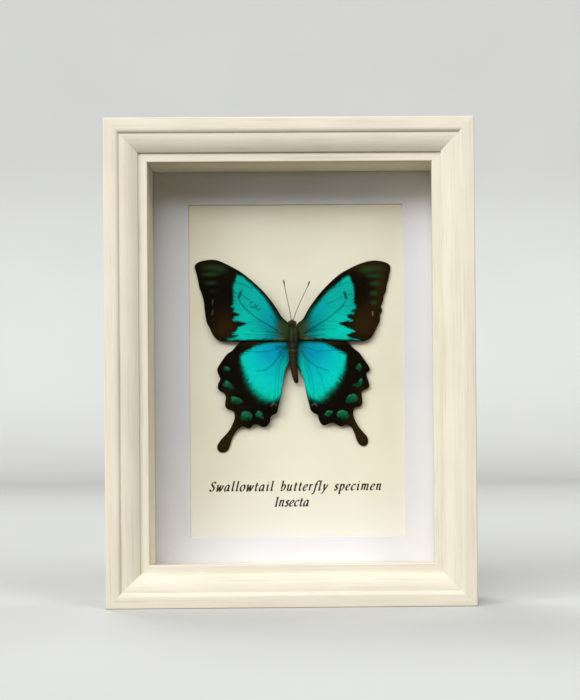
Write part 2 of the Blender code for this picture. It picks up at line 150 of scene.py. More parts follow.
HIND_FIELD_LEFT = [
    (-3.4, -3.2, 0.8), (-10.5, -3, 0.5), (-15.6, -4.1, 0.5), (-18.5, -5.2, 0.5),
    (-21.4, -6.9, 0.5), (-23.7, -8.3, 0.6), (-24.7, -10.3, 0.6), (-24.4, -12.8, 0.8),
    (-23.7, -15.1, 1), (-22.8, -18.6, 1.2), (-21.7, -21.5, 1.3), (-20.2, -24.3, 1.4),
    (-18.5, -26.3, 1.4), (-16.5, -28.2, 1.5), (-14.2, -29.7, 1.5), (-11.3, -30.5, 1.4),
    (-8.8, -30.2, 1.2), (-6.4, -28.3, 0.9), (-4.6, -25.7, 0.8), (-3.2, -20, 0.8),
    (-2.2, -14.2, 0.9), (-1.8, -10, 1),
]
HIND_FIELD_RIGHT = [
    (3, -3.4, 0.8), (12.5, -3.2, 0.5), (15.9, -4.4, 0.5), (19.4, -6.4, 0.5),
    (22.5, -7.9, 0.5), (24.1, -9.1, 0.6), (24, -11.4, 0.6), (23.5, -15.7, 0.9),
    (22.5, -18.6, 1.1), (21.1, -21.5, 1.2), (18.8, -24.6, 1.3), (16.2, -27, 1.4),
    (14.2, -29.2, 1.4), (11.6, -30.5, 1.3), (9, -29.9, 1.1), (6.4, -28, 0.9),
    (4.2, -24.3, 0.8), (3, -20, 0.8), (1.8, -14.2, 0.9), (1.4, -9.4, 1),
]

# Green spots on the hindwings' borders
SPOTS_LEFT = [
    [(-31, -13.5), (-28.7, -15.2), (-29.6, -17), (-31.4, -16.6), (-32.2, -14.9)],
    [(-30.8, -20.2), (-29.1, -21.2), (-27.1, -23.5), (-28.3, -24.7), (-31.7, -23.7),
     (-32.6, -22.4)],
    [(-28.2, -27.3), (-24.4, -28.6), (-23.1, -30.7), (-25.7, -31.6), (-28.3, -30.8),
     (-29.1, -29.3)],
    [(-22.1, -34.2), (-20, -34.9), (-19, -36.9), (-19.8, -38.8), (-21.4, -39.3),
     (-24.7, -38.6), (-24.2, -35.2)],
    [(-16.4, -33.9), (-15, -34.7), (-13.7, -37.2), (-14.4, -38.8), (-16.8, -38),
     (-17.9, -36)],
]
SPOTS_RIGHT = [
    [(29.8, -12.8), (31.2, -14), (30.7, -16.4), (29.2, -16.6), (27.9, -14.8)],
    [(30.7, -19.2), (31.5, -21.4), (30.5, -23.4), (28.5, -24.2), (26.5, -22.9),
     (29, -21.2)],
    [(23.3, -30), (23.9, -28.3), (25.6, -26.9), (27.9, -26.7), (29.4, -29.2),
     (28.6, -30.7), (25.4, -31.6), (23.9, -31.3)],
    [(19.1, -36.1), (19.9, -34.8), (21.9, -34), (24.5, -35), (25.2, -38.2),
     (22.5, -39.1), (19.9, -38.2)],
    [(13.5, -36.6), (14.2, -34.9), (15.6, -34.1), (17.9, -34.8), (17.3, -36.6),
     (15.3, -37.7), (13.9, -37.5)],
]

# Dark lines in the blue fields: strength, then points from the base outwards
FORE_LINES_LEFT = [
    (0.9, [(-7, 2), (-10.1, 3.8), (-16.6, 7.8), (-19.9, 10.5), (-22.8, 13.4), (-24.8, 16.4)]),
    (3.6, [(-24, 19.6), (-24.4, 18.6), (-24.8, 17.4)]),
    (1.2, [(-23.2, 20.9), (-23.8, 20), (-24.4, 18.8)]),
    (0.5, [(-18.3, 21.5), (-19.9, 22), (-22.8, 23.3), (-26.5, 24.4)]),
    (0.6, [(-23.6, 18.4), (-21.6, 17.4), (-19.9, 16.4)]),
    (0.45, [(-24.8, 19), (-27.2, 19.3)]),
    (0.35, [(-24.9, 17.8), (-27.4, 17.2)]),
    (0.8, [(-19.9, 14.7), (-18.6, 15.3)]),
    (0.9, [(-19.8, 14), (-18.6, 12.9), (-17, 13.1), (-15.9, 13.9)]),
    (0.8, [(-17.7, 14.2), (-16.2, 11.7)]),
    (0.7, [(-16.7, 11.2), (-15.2, 12.2)]),
    (0.3, [(-13.9, 6.1), (-18, 6.4), (-22.4, 5.6)]),
    (0.3, [(-7.4, 0.9), (-13, 1.7), (-20, 2.2)]),
    (0.35, [(-6.8, 0), (-14, 0.5), (-22, 0.7)]),
    (0.6, [(-4.4, 0.6), (-8, 1.2), (-12.6, 2)]),
    (0.5, [(-5, 2.2), (-8, 5.2), (-10.4, 9)]),
]
FORE_LINES_RIGHT = [
    (0.9, [(5.4, 1.3), (7.3, 2.8), (14, 6.4), (19.5, 10.7), (22.3, 13.2), (23.8, 15.6)]),
    (3.6, [(23.4, 19), (23.7, 18), (24, 17)]),
    (1.2, [(23.1, 19.9), (23.7, 18), (24.2, 16.2)]),
    (0.5, [(16.5, 20.8), (20.1, 22.3), (23.2, 23.5), (25, 23.9)]),
    (0.4, [(22, 17.8), (18.9, 15.9), (15.2, 14.1)]),
    (0.6, [(24.3, 17.9), (26.6, 18.6)]),
    (0.35, [(23.2, 13.2), (26.6, 13.2)]),
    (0.3, [(15.2, 6.4), (19.5, 6.1), (22.3, 5.6)]),
    (0.6, [(3.4, -0.6), (7, -0.3), (10.4, -0.1), (14, 0.3)]),
    (0.3, [(8, 2), (13, 2.8), (19, 2.6)]),
    (0.3, [(12, 4.2), (17, 4.6), (22, 3.9)]),
    (0.8, [(4.4, 0.6), (7, 1.5), (10.4, 2.3), (14, 2.6)]),
    (0.7, [(4.6, 1), (7.4, 2.3), (10, 3.6)]),
    (0.5, [(4.8, 2), (6.8, 3.8), (9, 6.4)]),
]
HIND_LINES_LEFT = [
    (0.7, [(-3.4, -5.6), (-5.6, -7), (-7.4, -10.1), (-9.1, -12.3), (-12.7, -15.5),
           (-17.2, -16.1)]),
    (0.5, [(-3.4, -4.8), (-7.8, -5.9), (-12, -7.2), (-16.6, -7.4), (-21.2, -7.3)]),
    (0.8, [(-2.9, -4.6), (-5.4, -5), (-8.4, -5)]),
    (0.8, [(-2.9, -5), (-5.2, -5.9), (-8.2, -6.6)]),
    (0.8, [(-3, -5.4), (-5, -6.6), (-7.6, -8.2)]),
    (0.8, [(-3, -5.9), (-4.8, -7.6), (-6.8, -9.9)]),
    (0.5, [(-3.2, -6.4), (-4.8, -9), (-6.2, -12.2)]),
    (0.4, [(-5, -9), (-6.4, -14), (-7, -20), (-7.4, -26)]),
    (0.35, [(-6.4, -11), (-8.2, -17), (-8.8, -27)]),
    (0.35, [(-4.2, -8), (-5, -14), (-5.9, -21)]),
]
HIND_LINES_RIGHT = [
    (0.5, [(3.4, -4.6), (6.6, -5.9), (10.2, -7.2), (14.2, -7.1), (18.6, -6.9)]),
    (0.6, [(3.2, -6.8), (5.3, -10.2), (9.9, -14), (15.8, -16.3)]),
    (0.4, [(3.4, -5.4), (6.2, -7.4), (8.8, -10)]),
    (0.4, [(3.4, -6), (5, -8.6), (6.4, -12.2)]),
    (0.4, [(4.8, -11), (7.8, -17.5), (9.2, -27)]),
    (0.35, [(4.4, -12), (6.4, -18), (7.8, -25.5)]),
    (0.35, [(9.9, -14), (12.6, -20), (14.2, -26.4)]),
]

# Veins that show as relief alone, left side; the right side mirrors them
FORE_RIBS = [
    [(-4.5, 3.5), (-8.5, 10.8), (-13.5, 17.6), (-18.8, 22.4), (-25.7, 25.4), (-34, 31)],
    [(-25.7, 25), (-34, 28.6), (-43, 31.6)],
    [(-23.4, 20.8), (-32, 23.6), (-43.2, 25.6)],
    [(-24.4, 19), (-33, 19.8), (-41.8, 19.4)],
    [(-24.9, 17.2), (-32, 16), (-40.6, 13)],
    [(-23.4, 14.6), (-31, 10.8), (-39.6, 6.6)],
    [(-20.4, 11.3), (-25.6, 9.2), (-32, 5.4), (-38.2, 2.4)],
    [(-13.9, 6.1), (-22, 5.6), (-30, 1.6), (-35.8, -1)],
    [(-4, -0.2), (-16, 0.2), (-26, -0.4), (-34.2, -2)],
]
HIND_RIBS = [
    [(-12, -4.4), (-20, -6.2), (-27, -10), (-34, -15.4)],
    [(-17.2, -16.1), (-24, -19), (-34.2, -20.4)],
    [(-17.2, -16.1), (-23.6, -23.6), (-32, -27)],
    [(-15.2, -16), (-20.2, -26), (-27.6, -35.6)],
    [(-12.7, -15.5), (-16, -26), (-22.6, -33.6), (-27.8, -42.6), (-33, -50.4)],
    [(-9.1, -12.3), (-12.4, -25), (-17.9, -34.4), (-18.2, -40)],
    [(-7.4, -10.1), (-9.4, -24), (-12.2, -34), (-12.6, -40.8)],
]

# Soft patches as (x, y, half width, half height, strength)
FORE_DUST_LEFT = [
    (-36.4, 31.2, 6.4, 1.5, 0.65), (-32.6, 29.6, 3, 1.2, 0.4), (-37.9, 27.9, 4.2, 1, 0.8),
    (-37.7, 24.1, 3.2, 1.1, 0.75), (-36.8, 20.2, 1.8, 1.2, 0.4), (-36.6, 16.6, 1.2, 1.2, 0.25),
    (-3.4, 2.4, 3, 4.5, 1.2),
]
FORE_DUST_RIGHT = [
    (36.2, 30.2, 6, 1.4, 0.75), (33, 28.9, 2.6, 1.2, 0.4), (37.2, 26.8, 4.2, 1, 0.9),
    (37.4, 23.3, 2.8, 1.1, 1), (36.6, 18.9, 2, 1.1, 1), (36.6, 14.6, 1.6, 1.3, 0.9),
    (3.2, 2.4, 3, 4.5, 1.2),
]
FORE_WARM_LEFT = [
    (-30.6, 5, 6, 6, 0.8), (-34, 1, 5, 3, 0.4), (-38, 31, 6, 4, 0.4),
]
FORE_WARM_RIGHT = [
    (32, 4.5, 7, 6, 1.1), (40, 21, 4, 12, 1), (34, 31, 9, 3, 0.8),
    (34, 12, 5, 4, 0.4),
]
HIND_WARM_LEFT = [
    (-17, -2.8, 6, 1.8, 1), (-30, -47, 6, 10, 1.3), (-31, -28, 2.5, 5, 0.5),
]
HIND_WARM_RIGHT = [
    (17, -2.4, 6, 1.8, 1), (29.5, -46, 6, 9, 1.3), (31, -27, 2.5, 5, 0.5),
]

# Greener above zero and bluer below
FORE_TINT_LEFT = [
    (-23, 0.6, 9, 3.6, 1.1), (-23, 8.5, 6, 3.4, 0.6), (-22.5, 21, 7, 6, 0.1),
    (-13.5, 4.2, 3, 1.6, -0.4), (-10, 8.6, 3.4, 4.4, -0.5), (-11.9, -0.8, 4, 1, -0.3),
]
FORE_TINT_RIGHT = [
    (21.5, 1.5, 9.5, 4.6, 1.3), (21, 8.3, 7, 3.5, 0.6), (24.7, 25, 3, 3, 0.3),
    (12.8, 10.6, 3.6, 4.6, -0.35), (9.6, 4.4, 2.8, 1.8, -0.5), (20, 19, 6, 4, 0.1),
]
HIND_TINT_LEFT = [
    (-8.2, -7.3, 6, 4, -1), (-13, -8.4, 4.6, 4, -0.3), (-13, -28.5, 10, 3.5, 0.6),
    (-4.8, -18, 1.8, 12, 0.7), (-23.5, -13, 2.5, 7, 0.6),
]
HIND_TINT_RIGHT = [
    (8.6, -6.4, 5.6, 3.8, -1), (12.5, -8, 4.6, 4, -0.2), (12, -28.5, 10, 3.5, 0.6),
    (4.2, -18, 1.8, 12, 0.7), (22.8, -13, 2.5, 7, 0.5),
]

# Pale strokes, strength then points: those along the forewings' lower edges by the body and the
# hindwings' crescents are painted highlights, and those in the forewings' dark borders are pale
# marks
FORE_PALE_LEFT = [
    (0.3, [(-9, -1.7), (-4.6, -1.4)]), (0.3, [(-36.7, 16), (-36.9, 14.3)]),
    (0.4, [(-36.8, 11.5), (-37.1, 9.6)]),
]
FORE_PALE_RIGHT = [
    (0.3, [(5, -1.5), (9, -1.9)]), (0.9, [(36, 10.4), (36.1, 8.9)]),
    (0.25, [(10.8, -0.9), (12.8, -1.6)]),
]
HIND_PALE_LEFT = [(0.4, [(-10.6, -32.2), (-9.8, -31.4), (-8.9, -31.3), (-8.2, -31.9)])]
HIND_PALE_RIGHT = [(0.4, [(8.1, -32), (8.8, -31.4), (9.7, -31.5), (10.4, -32.2)])]

# Body as (x, depth behind the wing plane, z, radius), from head to tail
BODY = [
    (-0.7, 0.6, 7.1, 0.45), (-0.7, 0.6, 6.6, 1.3), (-0.7, 0.6, 5.7, 1.8),
    (-0.6, 0.6, 4.9, 1.75), (-0.5, 0.6, 4.1, 1.35), (-0.3, 0.6, 3.4, 1.7),
    (0, 0.6, 2.3, 2.35), (0, 0.6, 0.4, 2.6), (0, 0.6, -1.6, 2.45),
    (-0.1, 0.6, -3, 2.05), (-0.2, 0.6, -3.8, 1.75), (-0.4, 0.6, -5.2, 2.05),
    (-0.4, 0.7, -8, 2.1), (-0.3, 0.8, -12, 1.85), (0, 1, -15.6, 1.55),
    (0.5, 1.3, -19, 1.3), (0.9, 1.5, -21, 1), (1, 1.5, -21.8, 0.5),
]
BODY_SIDES = 28
BODY_STEPS = 12
ABDOMEN_TOP = -4.4
ABDOMEN_RINGS = 8
ABDOMEN_END = -20.5
EYE_AT = (1.3, 0.2, 5.6)
EYE_R = (0.75, 0.75, 0.95)
EYE_ROWS = 10
EYE_SIDES = 18
LEGS = [
    [(1.2, 1.4, 2.4), (2.9, 2.4, 3.8), (3.3, 3.1, 1.8), (2.7, 3.3, 0.2)],
    [(1.4, 1.6, 0.2), (3.3, 2.6, -0.8), (3.2, 3.3, -3.4), (2.6, 3.3, -5.4)],
    [(1.2, 1.6, -1.4), (2.3, 2.8, -3.0), (2.2, 3.3, -6.4), (1.6, 3.4, -9.2)],
]
LEG_R = 0.24
ANTENNA_LEFT = [
    (-1.0, 0.2, 6.9, 0.2), (-1.7, -0.2, 11.0, 0.16), (-2.9, -0.6, 17.0, 0.15),
    (-4.0, -0.8, 22.6, 0.18), (-4.2, -0.8, 23.9, 0.38), (-4.4, -0.8, 25.2, 0.22),
]
ANTENNA_RIGHT = [
    (-0.2, 0.2, 6.9, 0.2), (1.3, -0.2, 11.0, 0.16), (4.0, -0.6, 17.0, 0.15),
    (6.6, -0.8, 22.2, 0.18), (7.0, -0.8, 23.4, 0.38), (7.5, -0.8, 24.6, 0.22),
]
ANTENNA_RING = 0.5
LEG_RING = 0.6
RING_STEPS = 4
RING_DEPTH = 0.18  # as a share of the radius
FUR_HAIRS = 900
HAIR_LENGTH = (0.5, 1.1)
HAIR_THIN = 0.035
SHORT_FUR = 0.35  # share of that length below the thorax
THORAX_END = -4

# Lettering on the card: generic words, left end, baseline and width in mm
LABEL_LINES = [
    ("Swallowtail butterfly specimen", -39.8, 49.85, 79.6),
    ("Insecta", -9.8, 42.6, 16.0),
]
LABEL_HEIGHT = 2.8  # of a small letter
LABEL_SHEAR = 0.24
LABEL_SPACE = 0.75
NIB_WIDE = 0.3
NIB_THIN = 0.12
NIB_ANGLE = math.radians(28)
INK_RISE = 0.02

# Letters as strokes of a broad pen, a small letter being 1 high: advance, then strokes
ENTRY = [(0.02, 0.86), (0.15, 1.0), (0.18, 0.85)]
STEM = [*ENTRY, (0.17, 0.0)]
FOOT = [(0.2, 0.18), (0.28, 0.02), (0.44, 0.14)]
EXIT = [(0.7, 0.02), (0.86, 0.14)]
BOWL = [(0.17, 0.6), (0.42, 0.98), (0.66, 0.85), (0.7, 0.45), (0.52, 0.08)]
OPEN_BOWL = [(0.44, 1.0), (0.2, 0.86), (0.06, 0.44), (0.15, 0.08), (0.36, 0.02), (0.6, 0.2)]
LETTERS = {
    "S": (0.9, [[(0.84, 1.28), (0.62, 1.5), (0.3, 1.36), (0.26, 1.06), (0.5, 0.8), (0.72, 0.5),
                 (0.64, 0.12), (0.34, 0.0), (0.08, 0.24)]]),
    "I": (0.6, [[(0.3, 1.46), (0.3, 0.04)], [(0.1, 1.48), (0.5, 1.48)],
                [(0.1, 0.02), (0.5, 0.02)]]),
    "a": (0.9, [[(0.62, 0.85), (0.42, 1.0), (0.18, 0.8), (0.06, 0.42), (0.12, 0.08),
                 (0.3, 0.02), (0.5, 0.25), (0.62, 0.6)], [(0.66, 0.98), (0.62, 0.18), *EXIT]]),
    "b": (0.82, [[(0.03, 1.48), (0.18, 1.6), (0.2, 1.45), (0.17, 0.3)],
                 [*BOWL, (0.28, 0.02), (0.17, 0.2)]]),
    "c": (0.68, [[(0.6, 0.82), *OPEN_BOWL]]),
    "e": (0.7, [[(0.08, 0.45), (0.42, 0.56), (0.58, 0.8), *OPEN_BOWL]]),
    "f": (0.54, [[(0.72, 1.46), (0.56, 1.6), (0.38, 1.4), (0.28, 0.9), (0.2, -0.2),
                  (0.06, -0.55), (-0.12, -0.48)], [(0.06, 0.95), (0.54, 0.95)]]),
    "i": (0.5, [[(0.03, 0.86), (0.17, 1.0), (0.2, 0.85), *FOOT], [(0.16, 1.32), (0.28, 1.46)]]),
    "l": (0.5, [[(0.03, 1.48), (0.17, 1.6), (0.2, 1.45), *FOOT]]),
    "m": (1.34, [STEM, [(0.17, 0.65), (0.38, 0.98), (0.54, 0.96), (0.6, 0.75), (0.59, 0.0)],
                 [(0.59, 0.65), (0.82, 0.98), (1.0, 0.96), (1.06, 0.75), (1.04, 0.18),
                  (1.12, 0.02), (1.28, 0.14)]]),
    "n": (0.92, [STEM, [(0.17, 0.65), (0.4, 0.98), (0.58, 0.96), (0.64, 0.75), (0.62, 0.18),
                        *EXIT]]),
    "o": (0.82, [[(0.42, 1.0), (0.16, 0.84), (0.06, 0.42), (0.18, 0.06), (0.4, 0.0),
                  (0.64, 0.2), (0.72, 0.6), (0.62, 0.92), (0.42, 1.0)]]),
    "p": (0.84, [[*ENTRY, (0.17, -0.52)], [(0.0, -0.54), (0.36, -0.54)],
                 [*BOWL, (0.3, 0.02), (0.18, 0.16)]]),
    "r": (0.62, [STEM, [(0.17, 0.62), (0.36, 0.94), (0.58, 0.92)]]),
    "s": (0.58, [[(0.5, 0.8), (0.34, 1.0), (0.14, 0.86), (0.2, 0.62), (0.42, 0.4), (0.42, 0.1),
                  (0.22, 0.0), (0.04, 0.18)]]),
    "t": (0.56, [[(0.24, 1.34), (0.2, 0.9), (0.2, 0.2), (0.3, 0.02), (0.5, 0.14)],
                 [(0.02, 0.95), (0.5, 0.95)]]),
    "u": (0.92, [[*ENTRY, (0.17, 0.25), (0.27, 0.03), (0.44, 0.07), (0.63, 0.35)],
                 [(0.66, 1.0), (0.63, 0.18), *EXIT]]),
    "w": (1.16, [[(0.02, 0.86), (0.15, 1.0), (0.18, 0.8), (0.23, 0.06), (0.3, 0.04), (0.62, 0.96)],
                 [(0.62, 0.96), (0.66, 0.06), (0.74, 0.04), (1.0, 0.6), (1.04, 0.96)]]),
    "y": (0.78, [[(0.02, 0.86), (0.15, 1.0), (0.2, 0.85), (0.3, 0.06)],
                 [(0.7, 0.98), (0.62, 0.6), (0.32, 0.0), (0.1, -0.46), (-0.08, -0.5)]]),
}


# Small mesh tools

def mesh_object(name, verts, faces, material, smooth=True, matrix=None):
    """A new mesh object from points in mm."""
    mesh = bpy.data.meshes.new(name)
    mesh.from_pydata([tuple(v) for v in verts], [], [tuple(f) for f in faces])
    body = bmesh.new()
    body.from_mesh(mesh)
    bmesh.ops.recalc_face_normals(body, faces=body.faces)
    body.to_mesh(mesh)
    body.free()
    mesh.polygons.foreach_set("use_smooth", [smooth] * len(mesh.polygons))
    mesh.materials.append(material)
    made = bpy.data.objects.new(name, mesh)
    made.matrix_world = (matrix or Matrix()) @ Matrix.Scale(MM, 4)
    bpy.context.scene.collection.objects.link(made)
    return made


def add_values(obj, **values):
    """Stores one number per vertex under each name."""
    for name, numbers in values.items():
        layer = obj.data.attributes.new(name, "FLOAT", "POINT")
        layer.data.foreach_set("value", np.asarray(numbers, dtype=np.float32))


def finish_piece(obj, slot, *nodes):
    """Fixes a piece to the frame and hides the nodes that it stands for. Its finish, slot, is not
    used.
    """
    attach(obj, "root")
    if nodes:
        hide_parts(*nodes)
    return obj


def spline(points, steps, closed=False):
    """Catmull-Rom curve through points of any length."""
    points = np.asarray(points, dtype=float)
    count = len(points)
    rows = []
    for i in range(count if closed else count - 1):
        if closed:
            picks = [(i - 1) % count, i, (i + 1) % count, (i + 2) % count]
        else:
            picks = [max(i - 1, 0), i, i + 1, min(i + 2, count - 1)]
        a, b, c, d = points[picks]
        for step in range(steps):
            t = step / steps
            rows.append(
                0.5 * (2 * b + (c - a) * t + (2 * a - 5 * b + 4 * c - d) * t * t
                       + (3 * b - a - 3 * c + d) * t ** 3)
            )
    if not closed:
        rows.append(points[-1])
    return np.array(rows)


def evenly(line, spacing):
    """The same line with points about one spacing apart."""
    line = np.asarray(line, dtype=float)
    lengths = np.hypot(*np.diff(line, axis=0).T)
    along = np.concatenate([[0], np.cumsum(lengths)])
    count = max(2, int(round(along[-1] / spacing)) + 1)
    wanted = np.linspace(0, along[-1], count)
    return np.column_stack([np.interp(wanted, along, line[:, i]) for i in (0, 1)])


def nearest(points, line, closed=False):
    """Distance from each point to a line, and where along the line, in segments."""
    line = np.asarray(line, dtype=float)
    ends = np.roll(line, -1, axis=0) if closed else line[1:]
    starts = line if closed else line[:-1]
    best = np.full(len(points), 1e9)
    where = np.zeros(len(points))
    for i, (a, b) in enumerate(zip(starts[:, :2], ends[:, :2])):
        edge = b - a
        t = np.clip((points - a) @ edge / max(edge @ edge, 1e-12), 0, 1)
        gap = np.hypot(*(points - a - t[:, None] * edge).T)
        closer = gap < best
        best[closer] = gap[closer]
        where[closer] = i + t[closer]
    return best, where


def inside(points, loop):
    """Which points lie inside a closed outline."""
    x, y = points[:, 0], points[:, 1]
    odd = np.zeros(len(points), dtype=bool)
    for (ax, ay), (bx, by) in zip(loop, np.roll(loop, -1, axis=0)):
        if ay == by:
            continue
        crosses = (ay > y) != (by > y)
        odd ^= crosses & (x < (bx - ax) * (y - ay) / (by - ay) + ax)
    return odd


def signed_distance(points, loop):
    """Distance to a closed outline, positive inside, and where along it."""
    gap, where = nearest(points, loop, closed=True)
    return np.where(inside(points, loop[:, :2]), gap, -gap), where


def patches(points, spots):
    """Sum of soft round patches."""
    total = np.zeros(len(points))
    for x, y, wide, high, strength in spots:
        far = ((points[:, 0] - x) / wide) ** 2 + ((points[:, 1] - y) / high) ** 2
        total += strength * np.exp(-far)
    return total


def drawn_lines(points, lines, width):
    """Each line's strength in its middle, falling to 0 at its width. A strength above 1
    makes the line that much wider instead."""
    total = np.zeros(len(points))
    for strength, line in lines:
        gap, _ = nearest(points, spline(line, CURVE_STEPS))
        wider = max(strength, 1)
        drawn = np.clip(1.5 * (1 - gap / (width * wider)), 0, 1)
        total = np.maximum(total, min(strength, 1) * drawn)
    return total


def soft_step(values, low, high):
    """0 below low, 1 above high and smooth in between."""
    share = np.clip((values - low) / (high - low), 0, 1)
    return share * share * (3 - 2 * share)


def mirrored(lines, drop):
    """Lines of the left side moved to the right side, and down."""
    return [[(-x, y - drop) for x, y in line] for line in lines]


def ring_faces(rings, count, capped=True, first=0):
    """Quads between rings of count points each from a first point, and a face at each end."""
    faces = []
    if capped:
        faces = [list(range(count)), list(range(count * (rings - 1), count * rings))]
    for row in range(rings - 1):
        low = first + row * count
        for i in range(count):
            j = (i + 1) % count
            faces.append((low + i, low + j, low + count + j, low + count + i))
    return faces


# Node materials

def srgb(red, green, blue):
    """A colour as seen, 0 to 255, as linear values."""
    def linear(value):
        value /= 255
        return value / 12.92 if value <= 0.04045 else ((value + 0.055) / 1.055) ** 2.4

    return (linear(red), linear(green), linear(blue), 1)


class Look:
    """A node material built by short calls. An input takes a number, a colour or a socket."""

    def __init__(self, name):
        self.material = bpy.data.materials.new(name)
        self.material.use_nodes = True
        self.tree = self.material.node_tree
        self.shader = self.tree.nodes["Principled BSDF"]
        self.output = self.tree.nodes["Material Output"]

    def node(self, kind, inputs=None, **settings):
        """A new node with its settings, and inputs by name or number unless they are None."""
        made = self.tree.nodes.new(kind)
        for key, value in settings.items():
            setattr(made, key, value)
        for key, value in (inputs or {}).items():
            if value is not None:
                self.feed(made.inputs[key], value)
        return made

    def feed(self, socket, value):
        if isinstance(value, bpy.types.NodeSocket):
            self.tree.links.new(value, socket)
        else:
            socket.default_value = value

    def set(self, **inputs):
        """Shader inputs by name, with _ for a space."""
        for name, value in inputs.items():
            self.feed(self.shader.inputs[name.replace("_", " ")], value)

    def value(self, name):
        """A number that the vertices carry."""
        return self.node("ShaderNodeAttribute", attribute_name=name).outputs["Fac"]

    def place(self, x, y, z):
        """Object coordinates with each axis scaled."""
        where = self.node("ShaderNodeTexCoord").outputs["Object"]
        mapping = self.node("ShaderNodeMapping", {"Vector": where, "Scale": (x, y, z)})
        return mapping.outputs["Vector"]

    def height(self):
        where = self.node("ShaderNodeTexCoord").outputs["Object"]
        return self.node("ShaderNodeSeparateXYZ", {0: where}).outputs["Z"]

    def vector(self, x, y):
        return self.node("ShaderNodeCombineXYZ", {"X": x, "Y": y}).outputs[0]

    def noise(self, where, detail, roughness=0.5, warp=0.0, seed=None):
        """Noise over a vector, or over object coordinates scaled by three numbers."""
        if isinstance(where, tuple):
            where = self.place(*where)
        inputs = {
            "W": seed, "Vector": where, "Scale": 1, "Detail": detail, "Roughness": roughness,
            "Distortion": warp,
        }
        space = "3D" if seed is None else "4D"
        return self.node("ShaderNodeTexNoise", inputs, noise_dimensions=space).outputs["Fac"]

    def cells(self, scale):
        inputs = {"Vector": self.place(scale, scale, scale), "Scale": 1}
        return self.node("ShaderNodeTexVoronoi", inputs).outputs["Distance"]

    def math(self, operation, a, b=None, clamp=False):
        settings = {"operation": operation, "use_clamp": clamp}
        return self.node("ShaderNodeMath", {0: a, 1: b}, **settings).outputs[0]

    def times(self, a, b, clamp=False):
        return self.math("MULTIPLY", a, b, clamp)

    def rise(self, value, low, high, to_low=0.0, to_high=1.0):
        """Smooth step from to_low to to_high as value goes from low to high."""
        inputs = {
            "Value": value, "From Min": low, "From Max": high, "To Min": to_low,
            "To Max": to_high,
        }
        made = self.node("ShaderNodeMapRange", inputs, interpolation_type="SMOOTHSTEP")
        return made.outputs["Result"]

    def band(self, value, middle, far, near):
        """1 within near of a middle value, and 0 beyond far."""
        off = self.math("ABSOLUTE", self.math("SUBTRACT", value, middle))
        return self.rise(off, far, near)

    def mix(self, factor, a, b):
        return self.node("ShaderNodeMix", {0: factor, 6: a, 7: b}, data_type="RGBA").outputs[2]

    def cover(self, colour, share, most, over):
        """A colour with another over it: none where share is 0, most of it where 1."""
        return self.mix(self.times(share, most), colour, over)

    def ramp(self, value, *stops):
        """Colours at positions along a value."""
        made = self.node("ShaderNodeValToRGB", {"Fac": value})
        elements = made.color_ramp.elements
        elements[0].position, elements[0].color = stops[0]
        elements[1].position, elements[1].color = stops[-1]
        for position, colour in stops[1:-1]:
            elements.new(position).color = colour
        return made.outputs["Color"]

    def bump(self, height, strength, distance, after=None):
        inputs = {
            "Strength": strength, "Distance": distance, "Height": height, "Normal": after,
        }
        return self.node("ShaderNodeBump", inputs).outputs["Normal"]


# Materials

def painted_wood():
    """Cream paint rubbed thin over straight grain; a rail's grain runs along its own z."""
    look = Look("painted_wood")
    seed = look.value("seed")
    streaks = look.noise((1.1, 1.1, 0.022), 4, 0.62, 0.5, seed)
    hairs = look.noise((4.0, 4.0, 0.05), 3, 0.6, 0.2, seed)
    blotch = look.noise((0.12, 0.12, 0.03), 2, 0.5, 0.0, seed)
    colour = look.mix(look.rise(blotch, 0.3, 0.7), srgb(229, 219, 199), srgb(222, 212, 192))
    colour = look.cover(colour, look.rise(streaks, 0.5, 0.74), 0.62, srgb(194, 184, 163))
    colour = look.cover(colour, look.rise(hairs, 0.56, 0.8), 0.6, srgb(240, 232, 215))
    colour = look.cover(colour, look.rise(hairs, 0.44, 0.22), 0.5, srgb(187, 177, 156))
    look.set(Base_Color=colour, Roughness=look.rise(streaks, 0.3, 0.7, 0.42, 0.58))
    look.set(Specular_IOR_Level=0.35)
    ridges = look.bump(streaks, 0.35, 0.12 * MM)
    look.set(Normal=look.bump(hairs, 0.3, 0.05 * MM, ridges))
    return look.material


def clear_glass():
    """Glass that lets light straight through, with a weak and slightly smeared gloss."""
    look = Look("float_glass")
    look.tree.nodes.remove(look.shader)
    clear = look.node("ShaderNodeBsdfTransparent", {"Color": (0.985, 0.976, 0.98, 1)})
    smear = look.noise((14, 14, 40), 3)
    rough = look.rise(smear, 0.3, 0.8, 0.02, 0.09)
    gloss = look.node("ShaderNodeBsdfGlossy", {"Roughness": rough})
    fresnel = look.node("ShaderNodeFresnel", {"IOR": 1.45}).outputs[0]
    share = look.times(fresnel, look.rise(smear, 0.2, 0.8, 0.1, 0.16))
    both = look.node("ShaderNodeMixShader", {0: share, 1: clear.outputs[0], 2: gloss.outputs[0]})
    look.feed(look.output.inputs["Surface"], both.outputs[0])
    return look.material


def paper(name, fibre_scale, base, other, paler_heights=None, unit=1.0):
    """Matte card with fibres and slight mottling. Given two heights in its own space, it has its
    full colour above the first and is paler and less yellow below the second."""
    look = Look(name)
    fine, coarse = fibre_scale * unit, 25 * unit
    fibres = look.noise((fine, fine, fine), 4, 0.7, 0.6)
    clouds = look.noise((coarse, coarse, coarse), 3, 0.55)
    colour = look.mix(look.rise(clouds, 0.3, 0.7), base, other)
    if paler_heights:
        # paler and less yellow towards the bottom
        colour = look.mix(look.rise(look.height(), *paler_heights, 0, 0.6), colour, srgb(233, 232, 226))
    colour = look.cover(colour, look.rise(fibres, 0.6, 0.85), 0.12, srgb(190, 182, 166))
    look.set(Base_Color=colour, Roughness=0.9, Specular_IOR_Level=0.15)
    look.set(Normal=look.bump(fibres, 0.25, 0.06 * MM))
    return look.material


